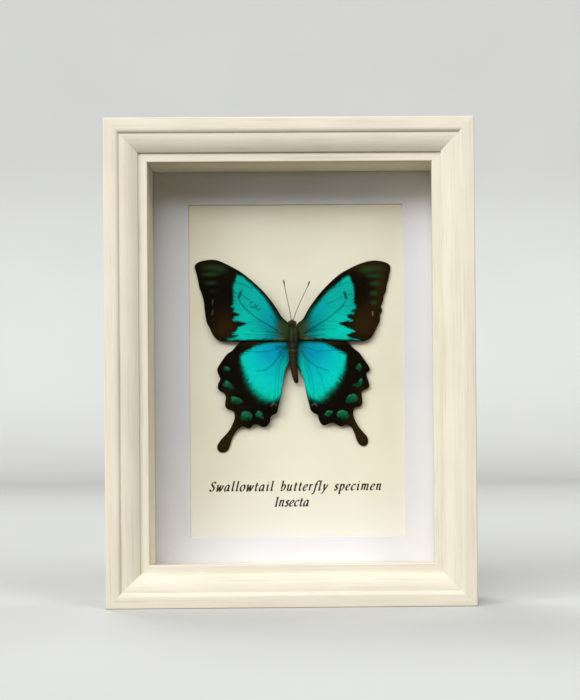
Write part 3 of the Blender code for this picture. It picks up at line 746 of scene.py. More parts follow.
def hardboard():
    look = Look("brown_hardboard")
    mesh = look.cells(700)
    fibres = look.noise((260, 260, 900), 5, 0.7, 1.2)
    clouds = look.noise((18, 18, 18), 2)
    colour = look.mix(look.rise(fibres, 0.25, 0.75), srgb(96, 62, 36), srgb(140, 98, 62))
    colour = look.mix(look.rise(clouds, 0.3, 0.7, 0, 0.3), colour, srgb(112, 84, 58))
    look.set(Base_Color=colour, Roughness=look.rise(mesh, 0, 0.6, 0.7, 0.9))
    look.set(Normal=look.bump(look.math("ADD", fibres, mesh), 0.5, 0.15 * MM))
    return look.material


def steel():
    look = Look("zinc_steel")
    brushed = look.noise((2500, 2500, 180), 3)
    spots = look.noise((600, 600, 600), 4, 0.7)
    rust = look.rise(spots, 0.66, 0.78)
    zinc = look.mix(brushed, srgb(190, 188, 182), srgb(150, 150, 148))
    colour = look.mix(rust, zinc, srgb(110, 74, 48))
    look.set(Base_Color=colour, Metallic=look.rise(rust, 0, 1, 1, 0.2))
    look.set(Roughness=look.rise(brushed, 0.2, 0.8, 0.28, 0.5))
    look.set(Normal=look.bump(brushed, 0.3, 0.02 * MM))
    return look.material


def wing_scales(name, cell, hind):
    """Scales of a wing from its markings, which its vertices carry as distances in mm."""
    look = Look(name)
    ray, reach = look.value("ray"), look.value("reach")
    combed = look.noise(look.vector(look.times(ray, 46), look.times(reach, 0.22)), 3, 0.6)
    fine = look.noise(look.vector(look.times(ray, 150), look.times(reach, 0.7)), 2, 0.6)
    mottle = look.noise((1.1, 1.1, 1.1), 3, 0.6)
    grain = look.noise((7, 7, 7), 2, 0.7)

    ragged = look.times(look.math("SUBTRACT", combed, 0.5), 3.2 if hind else 2.4)
    hairy = look.times(look.math("SUBTRACT", fine, 0.5), 3.0 if hind else 1.0)
    shifted = look.math("ADD", look.value("field"), look.math("ADD", ragged, hairy))
    edge = look.math("DIVIDE", shifted, look.value("soft"))

    dark = look.mix(look.rise(mottle, 0.35, 0.7), srgb(7, 3, 0), srgb(18, 13, 4))
    dark = look.cover(dark, look.value("warm"), 0.85, srgb(47, 33, 9))
    dust = look.rise(look.value("dust"), 0.06, 0.85)
    dark = look.cover(dark, dust, look.rise(fine, 0.2, 0.75, 0.5, 1), srgb(32, 64, 28))

    bright = look.ramp(look.math("DIVIDE", reach, 40), *cell)
    tint = look.value("tint")
    greener = srgb(4, 196, 156) if hind else srgb(4, 204, 178)
    bright = look.mix(look.times(tint, 0.8, clamp=True), bright, greener)
    bright = look.mix(look.times(tint, -0.8, clamp=True), bright, srgb(0, 144, 190))
    bright = look.mix(look.rise(fine, 0.35, 0.8, 0, 0.35), bright, srgb(8, 224, 206))
    bright = look.mix(look.rise(combed, 0.5, 0.22, 0, 0.5), bright, srgb(0, 96, 98))

    haze = srgb(4, 58, 42)
    if not hind:
        haze = look.mix(look.rise(reach, 4, 9), srgb(54, 62, 34), srgb(6, 48, 36))
    colour = look.mix(look.rise(edge, -1.5, 0.2), dark, haze)
    colour = look.mix(look.rise(edge, -0.5, 2.2 if hind else 1.6), colour, bright)
    if hind:
        uneven = look.math("ADD", mottle, look.times(grain, 0.8))
        uneven = look.times(look.math("SUBTRACT", uneven, 0.9), 1.5)
        lift = look.math("ADD", look.value("lift"), uneven)
        spot = look.ramp(
            lift, (0.1, srgb(6, 34, 16)), (0.45, srgb(12, 74, 43)), (0.8, srgb(22, 112, 68)),
            (1.0, srgb(38, 130, 86)),
        )
        within = look.math("ADD", look.value("spot"), uneven)
        colour = look.mix(look.rise(within, 0.1, 0.65), colour, spot)
    colour = look.cover(colour, look.value("line"), 0.9, srgb(0, 30, 44))
    # pale strokes: painted highlights along the forewings' lower edges and on the hindwings'
    # crescents, and pale marks in the forewings' dark borders
    colour = look.mix(look.value("pale"), colour, srgb(128, 122, 104))
    colour = look.cover(colour, look.rise(look.value("rim"), 0.7, 0.0), 0.6, srgb(28, 20, 6))

    look.set(Base_Color=colour, Roughness=look.rise(grain, 0.2, 0.8, 0.5, 0.75))
    look.set(Specular_IOR_Level=0.02)
    combing = look.bump(fine, 0.25, 0.04 * MM)
    look.set(Normal=look.bump(grain, 0.25, 0.03 * MM, combing))
    return look.material


def body_hide():
    """Thorax with two pale stripes, and an abdomen from green to brown, pale down the middle."""
    look = Look("body_hide")
    side, along = look.value("side"), look.value("along")
    fuzz = look.noise((5, 5, 1.6), 4, 0.7, 0.4)
    thorax = look.times(look.rise(along, -3.6, -2.6), look.rise(along, 3.6, 2.8))
    abdomen = look.rise(along, -3.6, -4.6)
    colour = look.mix(look.rise(fuzz, 0.3, 0.7), srgb(18, 20, 7), srgb(46, 50, 24))
    for middle in (-1.0, 1.0):
        stripe = look.times(look.band(side, middle, 0.5, 0.1), thorax)
        colour = look.cover(colour, stripe, 0.6, srgb(60, 76, 42))
    head = look.mix(fuzz, srgb(34, 24, 9), srgb(66, 48, 26))
    colour = look.mix(look.rise(along, 3.6, 4.4), colour, head)
    hide = look.mix(look.rise(along, -9.0, -13.0), srgb(28, 40, 18), srgb(48, 34, 16))
    colour = look.cover(colour, abdomen, 0.8, hide)
    for band, most, over in (
        (look.band(side, 0, 1.1, 0.1), 0.45, srgb(66, 54, 30)),
        (look.band(along, -6.0, 0.6, 0.2), 0.6, srgb(16, 13, 5)),
        (look.band(along, -6.9, 0.35, 0.1), 0.5, srgb(84, 84, 52)),
    ):
        colour = look.cover(colour, look.times(band, abdomen), most, over)
    colour = look.mix(look.rise(along, -18.5, -21.0), colour, srgb(24, 15, 7))
    colour = look.cover(colour, look.value("ring"), 0.5, srgb(14, 10, 5))
    look.set(Base_Color=colour, Roughness=look.rise(fuzz, 0.3, 0.7, 0.5, 0.75))
    look.set(Specular_IOR_Level=0.1, Normal=look.bump(fuzz, 0.6, 0.15 * MM))
    return look.material


def hair_look():
    look = Look("body_hair")
    mottle = look.noise((1.5, 1.5, 1.5), 2)
    colour = look.mix(look.rise(mottle, 0.35, 0.65), srgb(22, 19, 8), srgb(46, 43, 21))
    colour = look.cover(colour, look.value("tip"), 0.3, srgb(78, 70, 40))
    look.set(Base_Color=colour, Roughness=0.6, Specular_IOR_Level=0.3)
    return look.material


def eye_look():
    look = Look("eye_facets")
    facets = look.cells(9)
    colour = look.mix(look.rise(facets, 0.1, 0.6), srgb(70, 34, 18), srgb(22, 10, 6))
    look.set(Base_Color=colour, Roughness=0.22, Specular_IOR_Level=0.6)
    look.set(Normal=look.bump(facets, 0.4, 0.03 * MM))
    return look.material


def feeler_look():
    look = Look("feeler_rings")
    colour = look.mix(look.value("ring"), srgb(58, 46, 34), srgb(128, 112, 90))
    colour = look.mix(look.rise(look.value("tip"), 0.84, 0.92), colour, srgb(58, 44, 32))
    grain = look.noise((9, 9, 9), 3)
    look.set(Base_Color=colour, Roughness=look.rise(grain, 0.2, 0.8, 0.35, 0.6))
    look.set(Normal=look.bump(grain, 0.3, 0.02 * MM))
    return look.material


def ink():
    look = Look("printed_ink")
    patchy = look.noise((6, 6, 6), 4, 0.7)
    colour = look.mix(look.rise(patchy, 0.3, 0.75), srgb(40, 32, 21), srgb(76, 65, 46))
    look.set(Base_Color=colour, Roughness=0.75, Specular_IOR_Level=0.2)
    return look.material


# Frame

def rounded(corners):
    """A closed outline of (u, d, radius) corners, each rounded off."""
    outline = []
    for i, (u, d, radius) in enumerate(corners):
        here = Vector((u, d))
        before = Vector(corners[i - 1][:2]) - here
        after = Vector(corners[(i + 1) % len(corners)][:2]) - here
        if not radius:
            outline.append(here)
            continue
        half = before.angle(after) / 2
        reach = min(radius / math.tan(half), 0.45 * before.length, 0.45 * after.length)
        start = here + before.normalized() * reach
        end = here + after.normalized() * reach
        for step in range(CORNER_STEPS + 1):
            t = step / CORNER_STEPS
            outline.append(start * (1 - t) ** 2 + here * 2 * t * (1 - t) + end * t * t)
    return outline


def moulding_outline():
    """The moulding's section: band, shoulder, ovolo, lip and rebate."""
    start, end = OVOLO_U
    radius = (end - start) / math.sin(OVOLO_SLOPE)
    corners = [(0, FRAME_D, BACK_R), (0, 0, EDGE_R)]
    for step in range(SHOULDER_STEPS + 1):
        t = step / SHOULDER_STEPS
        u = BAND_W * (1 - t) ** 2 + SHOULDER_U * 2 * t * (1 - t) + (start - 0.06) * t * t
        corners.append((u, (OVOLO_D - 0.02) * t * t, 0))
    for step in range(OVOLO_STEPS + 1):
        angle = OVOLO_SLOPE * step / OVOLO_STEPS
        drop = OVOLO_D + radius * (1 - math.cos(angle))
        corners.append((start + radius * math.sin(angle), drop, 0))
    corners += [
        (end + 0.15, LIP_FRONT, 0.1), (SIGHT, LIP_FRONT, 0.5), (SIGHT, LIP_BACK, 0.15),
        (REBATE, LIP_BACK, 0.05), (REBATE, FRAME_D, BACK_R),
    ]
    return np.array([tuple(point) for point in rounded(corners)])


def inset_outline(outline, amount):
    """The outline moved inwards by an amount, for the rounded ends of a rail."""
    ahead = np.roll(outline, -1, axis=0) - np.roll(outline, 1, axis=0)
    ahead /= np.maximum(np.hypot(*ahead.T), 1e-9)[:, None]
    u, d = outline.T
    area = np.sum(u * np.roll(d, -1) - np.roll(u, -1) * d)
    inwards = np.column_stack([-ahead[:, 1], ahead[:, 0]]) * math.copysign(1, area)
    return outline + inwards * amount


def rail_stations(length):
    """(distance from a mitred end, inset) for half a rail, from the end to the middle."""
    ends = [(0, 1.0), (0.3, 0.45), (0.65, 0.12), (1, 0), (3, 0)]
    rows = [(MITRE_CUT + MITRE_ROUND * far, MITRE_ROUND * inset) for far, inset in ends]
    for step in range(1, RAIL_STATIONS // 2):
        rows.append((length / 2 * step / (RAIL_STATIONS // 2), 0))
    return rows


def make_rail(name, seed, inwards, middle, length, material):
    """One length of the moulding, mitred at both ends, its grain along it."""
    depthwise = Vector((0, 1, 0))
    along = inwards.cross(depthwise)
    turn = [(inwards[i], depthwise[i], along[i], 0) for i in range(3)] + [(0, 0, 0, 1)]
    matrix = Matrix.Translation(Vector(middle) * MM) @ Matrix(turn)
    outline = moulding_outline()
    sections = []
    for side in (-1, 1):
        rows = rail_stations(length)
        for far, inset in rows if side < 0 else reversed(rows):
            section = inset_outline(outline, inset)
            mitre = length / 2 - section[:, 0]
            z = mitre - far if inset else mitre * (1 - far / (length / 2))
            sections.append(np.column_stack([section, side * z]))
    verts = np.concatenate(sections)
    faces = ring_faces(len(sections), len(outline))
    rail = mesh_object("dressed_" + name, verts, faces, material, True, matrix)
    rail.data.set_sharp_from_angle(angle=math.radians(35))
    add_values(rail, seed=np.full(len(verts), seed))
    return finish_piece(rail, "cream_wood", name)


def make_frame(material):
    half_w, half_h = FRAME_W / 2, FRAME_H / 2
    make_rail("rail_top", 1.7, Vector((0, 0, -1)), (0, FRONT, FRAME_H), FRAME_W, material)
    make_rail("rail_bottom", 5.2, Vector((0, 0, 1)), (0, FRONT, 0), FRAME_W, material)
    make_rail("rail_left", 9.1, Vector((1, 0, 0)), (-half_w, FRONT, half_h), FRAME_H, material)
    make_rail("rail_right", 14.6, Vector((-1, 0, 0)), (half_w, FRONT, half_h), FRAME_H, material)


def make_mat(material):
    """The mat board, its window's front edge bevelled and its back close to the card."""
    half = FRAME_W / 2 - MAT_MARGIN
    x, z = WINDOW_AT
    wide, high = (size / 2 for size in WINDOW_SIZE)
    middle = FRAME_H / 2
    outer = (0, middle, half, middle - MAT_MARGIN)
    inner = (x, z, wide, high)
    opened = (x, z, wide + WINDOW_BEVEL, high + WINDOW_BEVEL)
    edge = MAT_FRONT + MAT_SINK
    rings = [
        (outer, MAT_FRONT), (opened, edge), (inner, edge + WINDOW_BEVEL), (inner, MAT_BACK),
        (outer, MAT_BACK),
    ]
    verts = []
    for (x, z, wide, high), depth in rings:
        for across, up in ((-1, -1), (1, -1), (1, 1), (-1, 1)):
            verts.append((x + across * wide, FRONT + depth, z + up * high))
    faces = []
    for ring in range(len(rings)):
        onward = (ring + 1) % len(rings)
        for i in range(4):
            j = (i + 1) % 4
            faces.append((4 * ring + i, 4 * ring + j, 4 * onward + j, 4 * onward + i))
    mat = mesh_object("bevelled_mat", verts, faces, material, False)
    return finish_piece(mat, "white_mat", "window_mat")


def dress_nodes():
    """The flat sheets and the fittings keep their solids and take a material."""
    card = paper("cream_board", 900, srgb(237, 234, 210), srgb(231, 227, 202), CARD_PALER_HEIGHTS)
    liner = paper("liner_board", 700, srgb(246, 239, 220), srgb(239, 231, 209))
    looks = {
        "glass_pane": clear_glass(), "mount_card": card, "back_panel": hardboard(),
    }
    fittings = steel()
    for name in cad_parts:
        if name.startswith("liner_"):
            looks[name] = liner
        if name.startswith(("steel_point", "hanger_nail", "sawtooth", "insect_pin")):
            looks[name] = fittings
    for name, material in looks.items():
        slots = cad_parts[name].data.materials
        slots.clear()
        slots.append(material)


# Specimen

def thorax_matrix():
    return Matrix.Translation(Vector((BODY_X, FRONT + WING_PLANE, BODY_Z)) * MM)


def specimen_matrix():
    return thorax_matrix() @ Matrix.Scale(SPREAD, 4)


def node_outline(name, behind):
    """The outline of a drooping CAD wing as seen on the plane of the thorax."""
    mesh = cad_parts[name].data
    base = Vector((BODY_X, FRONT + WING_PLANE + behind, BODY_Z))
    view = Vector((VIEW_X - BODY_X, 0, VIEW_Z - BODY_Z))
    flat = []
    for vertex in mesh.vertices:
        point = vertex.co / MM - base
        seen = (view + (point - view) * VIEW_AWAY / (VIEW_AWAY + point.y)) / SPREAD
        behind_middle = point.y - abs(point.x) * math.tan(DROOP)
        flat.append((round(seen.x, 2), round(seen.z, 2), behind_middle))
    links = {}
    uses = {}
    for face in mesh.polygons:
        keys = [flat[i] for i in face.vertices]
        if any(key[2] > 0 for key in keys):
            continue
        corners = [(round(key[0], 1), round(key[1], 1)) for key in keys]
        for a, b in zip(corners, corners[1:] + corners[:1]):
            pair = (min(a, b), max(a, b))
            uses[pair] = uses.get(pair, 0) + 1
    for (a, b), times in uses.items():
        if times == 1:
            links.setdefault(a, []).append(b)
            links.setdefault(b, []).append(a)
    start = min(links)
    loop, last, here = [start], None, start
    while True:
        onward = [p for p in links[here] if p != last]
        last, here = here, onward[0]
        if here == start:
            return loop
        loop.append(here)


def tucked(loop):
    """Edge points next to the body, moved in under it."""
    return [(x * TUCK, y) if abs(x) < TUCK_WITHIN else (x, y) for x, y in loop]


def wing_grid(loop, lines):
    """Triangles over a wing, with edges along its outline and its lines."""
    edge = evenly(np.vstack([loop, loop[:1]]), GRID)[:-1]
    points = [tuple(p) for p in edge]
    edges = [(i, (i + 1) % len(edge)) for i in range(len(edge))]
    for line in lines:
        route = evenly(spline(line, CURVE_STEPS), VEIN_STEP)
        first = len(points)
        points += [tuple(p) for p in route]
        edges += [(first + i, first + i + 1) for i in range(len(route) - 1)]
    low, high = loop.min(axis=0), loop.max(axis=0)
    rows = []
    for j, y in enumerate(np.arange(low[1], high[1], GRID_ROW)):
        xs = np.arange(low[0], high[0], GRID) + (j % 2) * GRID / 2
        rows.append(np.column_stack([xs, np.full(len(xs), y)]))
    filling = np.concatenate(rows)
    filling = filling[signed_distance(filling, loop)[0] > GRID_GAP]
    for line in lines:
        filling = filling[nearest(filling, spline(line, CURVE_STEPS))[0] > VEIN_GAP]
    points += [tuple(p) for p in filling]
    vectors = [Vector(p) for p in points]
    verts, _, faces, *_ = delaunay_2d_cdt(vectors, edges, [], 1, 1e-4)
    return np.array([tuple(v) for v in verts]), faces


def make_wing(node, behind, field, lines, ribs, dust, warm, tint, pale, spots, material):
    corners = tucked(node_outline(node, behind))
    loop = spline(corners, OUTLINE_STEPS, closed=True)
    guides = [line for _, line in lines + pale] + ribs
    flat, faces = wing_grid(loop, guides)
    side = math.copysign(1, flat[:, 0].mean())
    hinge_x, hinge_y = HIND_HINGE if behind else FORE_HINGE

    rim = nearest(flat, loop, closed=True)[0]
    rib = np.full(len(flat), 9.0)
    for line in guides:
        rib = np.minimum(rib, nearest(flat, spline(line, CURVE_STEPS))[0])
    bright = spline(field, FIELD_STEPS, closed=True)
    distance, where = signed_distance(flat, bright)
    softness = np.interp(where, range(len(bright) + 1), [*bright[:, 2], bright[0, 2]])
    arm = flat - (side * hinge_x, hinge_y)
    reach = np.hypot(*arm.T)
    ray = np.arctan2(arm[:, 1], arm[:, 0] * side)

    depth = WING_FRONT - CAMBER * (1 - np.exp(-rim / CAMBER_REACH))
    depth = depth - RIB_RISE * np.exp(-((rib / RIB_WIDTH) ** 2))
    depth = depth + RIPPLE * np.sin(flat @ RIPPLE_WAVES) + behind
    x, y = flat.T * SPREAD
    drop = np.abs(x) * math.tan(DROOP)
    drop = drop + TIP_SINK * soft_step(np.abs(x), *TIP_FROM_TO)
    drop = drop + TAIL_SINK * soft_step(-y, *TAIL_FROM_TO)
    seen_x = x + drop * (x + BODY_X - VIEW_X) / VIEW_AWAY
    seen_z = y + drop * (y + BODY_Z - VIEW_Z) / VIEW_AWAY
    verts = np.column_stack([seen_x, depth + drop, seen_z])
    wing = mesh_object("scaled_" + node, verts, faces, material, True, thorax_matrix())
    values = {
        "field": distance, "soft": softness, "reach": reach, "ray": ray, "rim": rim,
        "line": drawn_lines(flat, lines, LINE_WIDTH),
        # pale strokes, in part painted highlights
        "pale": drawn_lines(flat, pale, PALE_WIDTH),
        "dust": np.clip(patches(flat, dust), 0, 1), "warm": np.clip(patches(flat, warm), 0, 1),
        "tint": patches(flat, tint),
    }
    if spots:
        values["spot"] = np.full(len(flat), -9.0)
        values["lift"] = np.zeros(len(flat))
        for spot in spots:
            shape = spline(spot, OUTLINE_STEPS, closed=True)
            gap, _ = signed_distance(flat, shape)
            low, high = shape[:, 1].min(), shape[:, 1].max()
            closer = gap > values["spot"]
            values["spot"] = np.maximum(values["spot"], gap)
            values["lift"][closer] = np.clip((flat[closer, 1] - low) / (high - low), 0, 1)
    add_values(wing, **values)
    thick = wing.modifiers.new("thickness", "SOLIDIFY")
    thick.thickness = WING_T
    thick.offset = -1
    return finish_piece(wing, "wing_scales", node)


def tube(route, sides, ring_every):
    """A round tube through (x, depth, z, radius) points with closed ends, and each vertex's
    share of the length and place between rings."""
    line = spline(route, CURVE_STEPS)
    lengths = np.linalg.norm(np.diff(line[:, :3], axis=0), axis=1)
    along = np.concatenate([[0], np.cumsum(lengths)])
    wanted = np.arange(0, along[-1], ring_every / RING_STEPS)
    line = np.column_stack([np.interp(wanted, along, line[:, i]) for i in range(4)])
    ring = (np.arange(len(line)) % RING_STEPS == 0).astype(float)
    verts, share, rings = [], [], []
    for i, (x, y, z, radius) in enumerate(line):
        before, after = line[max(i - 1, 0)], line[min(i + 1, len(line) - 1)]
        ahead = Vector(after[:3] - before[:3]).normalized()
        across = ahead.cross(Vector((0, 1, 0))).normalized()
        up = across.cross(ahead)
        radius = radius * (1 - RING_DEPTH * ring[i])
        for k in range(sides):
            angle = 2 * math.pi * k / sides
            offset = across * math.cos(angle) * radius + up * math.sin(angle) * radius
            verts.append((x + offset.x, y + offset.y, z + offset.z))
            share.append(i / (len(line) - 1))
            rings.append(ring[i])
    return verts, ring_faces(len(line), sides), share, rings


def body_radius(z, radius):
    """The radius with the abdomen's segments drawn in between, and how deep in a seam it is."""
    if z > ABDOMEN_TOP or z < ABDOMEN_END:
        return radius, 0.0
    share = (ABDOMEN_TOP - z) / (ABDOMEN_TOP - ABDOMEN_END) * ABDOMEN_RINGS
    seam = math.exp(-(((share + 0.5) % 1 - 0.5) / 0.1) ** 2)
    return radius * (1 - 0.07 * seam), seam


def make_body(material):
    """Head, thorax and ringed abdomen in one."""
    line = spline(BODY, BODY_STEPS)
    verts, side, along, ring = [], [], [], []
    for x, depth, z, radius in line:
        radius, seam = body_radius(z, radius)
        for k in range(BODY_SIDES):
            angle = 2 * math.pi * k / BODY_SIDES
            verts.append((x + radius * math.sin(angle), depth - radius * math.cos(angle), z))
            side.append(radius * math.sin(angle))
            along.append(z)
            ring.append(seam)
    faces = ring_faces(len(line), BODY_SIDES)
    body = mesh_object("specimen_trunk", verts, faces, material, True, specimen_matrix())
    add_values(body, side=side, along=along, ring=ring)
    return finish_piece(body, "chitin", "butterfly_body")


def make_eyes(material):
    verts, faces = [], []
    for side in (-1, 1):
        first = len(verts)
        x, y, z = EYE_AT
        centre = Vector((BODY[2][0] + side * x, y, z))
        wide, deep, tall = EYE_R
        for i in range(EYE_ROWS + 1):
            tip = math.pi * i / EYE_ROWS
            flat = math.sin(tip) + 1e-3
            for k in range(EYE_SIDES):
                turn = 2 * math.pi * k / EYE_SIDES
                x, y = wide * flat * math.cos(turn), deep * flat * math.sin(turn)
                verts.append(centre + Vector((x, y, tall * math.cos(tip))))
        faces += ring_faces(EYE_ROWS + 1, EYE_SIDES, False, first)
    eyes = mesh_object("specimen_eyes", verts, faces, material, True, specimen_matrix())
    return finish_piece(eyes, "chitin", "butterfly_body")


def make_legs(material):
    verts, faces, share, rings = [], [], [], []
    for side in (-1, 1):
        for leg in LEGS:
            route = [(side * x, y, z, LEG_R * (1 - 0.2 * i)) for i, (x, y, z) in enumerate(leg)]
            more = tube(route, 8, LEG_RING)
            faces += [[i + len(verts) for i in face] for face in more[1]]
            verts += more[0]
            share += more[2]
            rings += more[3]
    legs = mesh_object("specimen_legs", verts, faces, material, True, specimen_matrix())
    add_values(legs, tip=np.array(share) * 0.5, ring=rings)
    return finish_piece(legs, "chitin", "butterfly_body")


def make_feeler(name, route, material):
    verts, faces, share, rings = tube(route, 10, ANTENNA_RING)
    feeler = mesh_object("ringed_" + name, verts, faces, material, True, specimen_matrix())
    add_values(feeler, tip=share, ring=rings)
    return finish_piece(feeler, "chitin", name)


def make_fur(material):
    """Short hairs combed towards the tail, over the head, thorax and flanks."""
    rng = random.Random(11)
    line = spline(BODY, BODY_STEPS)
    verts, faces, tips = [], [], []
    for _ in range(FUR_HAIRS):
        x, depth, z, radius = line[rng.randrange(6, len(line) - 20)]
        furry = 1.0 if z > THORAX_END else SHORT_FUR
        angle = rng.uniform(-math.pi * 0.75, math.pi * 0.75)
        out = Vector((math.sin(angle), -math.cos(angle), 0))
        root = Vector((x, depth, z)) + out * radius * 0.96
        length = rng.uniform(*HAIR_LENGTH) * furry
        comb = Vector((rng.uniform(-0.2, 0.2), 0, -rng.uniform(0.6, 1.3)))
        ahead = (out + comb).normalized()
        across = ahead.cross(out).normalized() * HAIR_THIN
        other = ahead.cross(across).normalized() * HAIR_THIN
        a, b, c, end = range(len(verts), len(verts) + 4)
        verts += [root + across, root - across * 0.5 + other, root - across * 0.5 - other]
        verts.append(root + ahead * length + Vector((0, 0, -0.15 * length)))
        faces += [(a, b, end), (b, c, end), (c, a, end)]
        tips += [0, 0, 0, 1]
    fur = mesh_object("specimen_fur", verts, faces, material, False, specimen_matrix())
    add_values(fur, tip=tips)
    return finish_piece(fur, "chitin", "butterfly_body")


def make_butterfly():
    fore_cell = [
        (0.0, srgb(32, 44, 20)), (0.08, srgb(24, 62, 38)), (0.15, srgb(8, 88, 80)),
        (0.22, srgb(1, 122, 122)), (0.3, srgb(4, 146, 144)), (0.4, srgb(4, 160, 155)),
        (0.55, srgb(7, 166, 157)), (0.72, srgb(7, 164, 150)), (1.0, srgb(6, 158, 138)),
    ]
    hind_cell = [
        (0.0, srgb(20, 66, 42)), (0.06, srgb(12, 98, 100)), (0.13, srgb(6, 118, 132)),
        (0.22, srgb(3, 150, 162)), (0.32, srgb(3, 174, 187)), (0.42, srgb(2, 190, 192)),
        (0.52, srgb(2, 203, 193)), (0.64, srgb(3, 200, 176)), (0.82, srgb(6, 160, 126)),
    ]
    fore = wing_scales("forewing_scales", fore_cell, False)
    hind = wing_scales("hindwing_scales", hind_cell, True)
    make_wing(
        "forewing_left", 0, FORE_FIELD_LEFT, FORE_LINES_LEFT, FORE_RIBS, FORE_DUST_LEFT,
        FORE_WARM_LEFT, FORE_TINT_LEFT, FORE_PALE_LEFT, [], fore,
    )
    make_wing(
        "forewing_right", 0, FORE_FIELD_RIGHT, FORE_LINES_RIGHT, mirrored(FORE_RIBS, 0.8),
        FORE_DUST_RIGHT, FORE_WARM_RIGHT, FORE_TINT_RIGHT, FORE_PALE_RIGHT, [], fore,
    )
    make_wing(
        "hindwing_left", HINDWING_BEHIND, HIND_FIELD_LEFT, HIND_LINES_LEFT, HIND_RIBS, [],
        HIND_WARM_LEFT, HIND_TINT_LEFT, HIND_PALE_LEFT, SPOTS_LEFT, hind,
    )
    make_wing(
        "hindwing_right", HINDWING_BEHIND, HIND_FIELD_RIGHT, HIND_LINES_RIGHT,
        mirrored(HIND_RIBS, -0.6), [], HIND_WARM_RIGHT, HIND_TINT_RIGHT, HIND_PALE_RIGHT,
        SPOTS_RIGHT, hind,
    )
    make_body(body_hide())
    make_eyes(eye_look())
    feelers = feeler_look()
    make_legs(feelers)
    make_feeler("antenna_left", ANTENNA_LEFT, feelers)
    make_feeler("antenna_right", ANTENNA_RIGHT, feelers)
    make_fur(hair_look())


def pen_stroke(points):
    """Both edges of a broad pen's stroke through points."""
    line = spline(points, CURVE_STEPS)
    ahead = np.gradient(line, axis=0)
    turn = np.arctan2(ahead[:, 1], ahead[:, 0]) - NIB_ANGLE
    half = np.hypot(NIB_WIDE * np.sin(turn), NIB_THIN * np.cos(turn)) / 2
    across = np.column_stack([-ahead[:, 1], ahead[:, 0]]) / np.hypot(*ahead.T)[:, None]
    return line + across * half[:, None], line - across * half[:, None]


def make_label():
    """Two lines of slanted lettering printed on the card."""
    material = ink()
    for number, (words, left, baseline, width) in enumerate(LABEL_LINES, 1):
        advances = [LETTERS[letter][0] if letter in LETTERS else LABEL_SPACE for letter in words]
        gap = (width / LABEL_HEIGHT - sum(advances)) / (len(words) - 1)
        verts, faces, pen = [], [], 0.0
        for letter, advance in zip(words, advances):
            for stroke in LETTERS.get(letter, (0, []))[1]:
                upper, lower = pen_stroke(stroke)
                first = len(verts)
                for x, y in [*upper, *lower]:
                    verts.append((pen + x + y * LABEL_SHEAR, 0, y))
                for i in range(first, first + len(upper) - 1):
                    faces.append((i, i + 1, i + 1 + len(upper), i + len(upper)))
            pen += advance + gap
        at = Vector((left, FRONT + CARD_FRONT - INK_RISE, baseline)) * MM
        place = Matrix.Translation(at) @ Matrix.Scale(LABEL_HEIGHT, 4)
        line = mesh_object(f"label_line_{number}", verts, faces, material, False, place)
        finish_piece(line, "cream_card")


# Stage

def make_floor():
    """A pale floor that curves up far behind into a plain backdrop."""
    profile = [(-FLOOR_HALF, 0), (FLOOR_BACK, 0)]
    for step in range(1, FLOOR_STEPS + 1):
        angle = math.pi / 2 * step / FLOOR_STEPS
        y, z = FLOOR_BACK + FLOOR_CURVE * math.sin(angle), FLOOR_CURVE * (1 - math.cos(angle))
        profile.append((y, z))
    profile.append((FLOOR_BACK + FLOOR_CURVE, FLOOR_TOP))
    verts, faces = [], []
    for y, z in profile:
        verts += [(-FLOOR_HALF / MM, y / MM, z / MM), (FLOOR_HALF / MM, y / MM, z / MM)]
    for i in range(len(profile) - 1):
        faces.append((2 * i, 2 * i + 1, 2 * i + 3, 2 * i + 2))
    look = Look("studio_paper")
    clouds = look.noise((0.004, 0.004, 0.004), 3)
    look.set(Base_Color=look.mix(clouds, (0.56, 0.555, 0.545, 1), (0.6, 0.595, 0.585, 1)))
    look.set(Roughness=0.9, Specular_IOR_Level=0.1)
    floor = mesh_object("studio_floor", verts, faces, look.material, True)
    floor.visible_diffuse = False
    floor.visible_glossy = False


def heading(turn, rise):
    """A direction from its turn to the right of straight back, and its rise."""
    level = math.cos(rise)
    return Vector((math.sin(turn) * level, math.cos(turn) * level, math.sin(rise)))


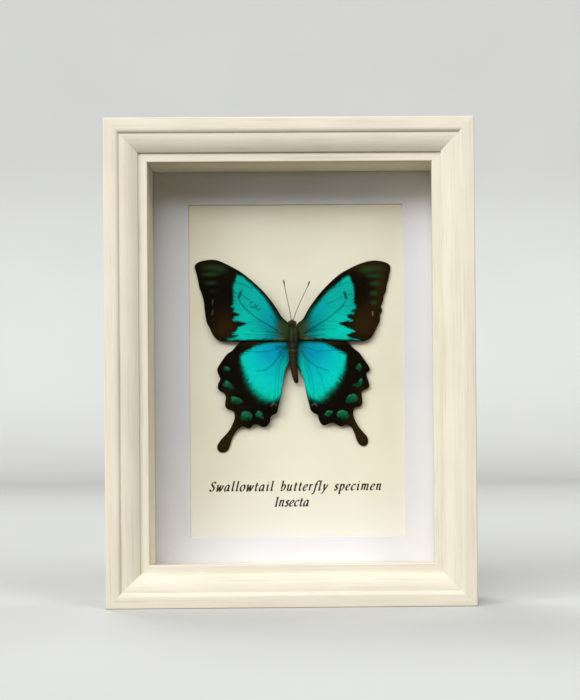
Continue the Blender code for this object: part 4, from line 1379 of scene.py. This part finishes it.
def make_light():
    """Soft light, mostly from the front left, with some from the right and from behind."""
    for number, (left, up, strength) in enumerate(SOFT_LIGHTS, 1):
        light = bpy.data.lights.new(f"soft_light_{number}", "SUN")
        light.energy = strength
        light.angle = LIGHT_SPREAD
        light.color = LIGHT_COLOUR
        towards = -heading(math.radians(left), -math.radians(up))
        lamp = bpy.data.objects.new(light.name, light)
        lamp.matrix_world = towards.to_track_quat("Z", "Y").to_matrix().to_4x4()
        bpy.context.scene.collection.objects.link(lamp)
    world = bpy.data.worlds.new("studio")
    world.use_nodes = True
    background = world.node_tree.nodes["Background"]
    background.inputs["Color"].default_value = (*WORLD_COLOUR, 1)
    background.inputs["Strength"].default_value = WORLD_STRENGTH
    bpy.context.scene.world = world


def make_camera():
    ahead = heading(CAMERA_YAW, CAMERA_PITCH)
    right = ahead.cross(Vector((0, 0, 1))).normalized()
    up = right.cross(ahead)
    turned = right * math.cos(CAMERA_ROLL) + up * math.sin(CAMERA_ROLL)
    up = turned.cross(ahead)
    rows = [(turned[i], up[i], -ahead[i], CAMERA_AT[i] * MM) for i in range(3)]
    data = bpy.data.cameras.new("camera")
    longest = max(IMAGE_PX)
    data.sensor_width = SENSOR
    data.lens = FOCAL_PX * SENSOR / longest
    data.shift_x = (IMAGE_PX[0] / 2 - PRINCIPAL_PX[0]) / longest
    data.shift_y = (PRINCIPAL_PX[1] - IMAGE_PX[1] / 2) / longest
    data.clip_start = 0.01
    camera = bpy.data.objects.new("camera", data)
    camera.matrix_world = Matrix(rows + [(0, 0, 0, 1)])
    bpy.context.scene.collection.objects.link(camera)
    bpy.context.scene.camera = camera
    bpy.context.scene.view_settings.view_transform = "Standard"


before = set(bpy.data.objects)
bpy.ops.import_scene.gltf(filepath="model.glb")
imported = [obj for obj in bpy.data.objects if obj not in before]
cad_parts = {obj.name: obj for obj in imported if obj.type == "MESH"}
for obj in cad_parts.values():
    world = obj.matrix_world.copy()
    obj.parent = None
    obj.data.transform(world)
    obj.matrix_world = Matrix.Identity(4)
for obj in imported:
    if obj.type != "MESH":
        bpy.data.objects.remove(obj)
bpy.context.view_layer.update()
make_frame(painted_wood())
make_mat(paper("mat_board", 1100, srgb(224, 225, 226), srgb(220, 221, 224), unit=MM))
dress_nodes()
make_butterfly()
make_label()
make_floor()
make_light()
make_camera()
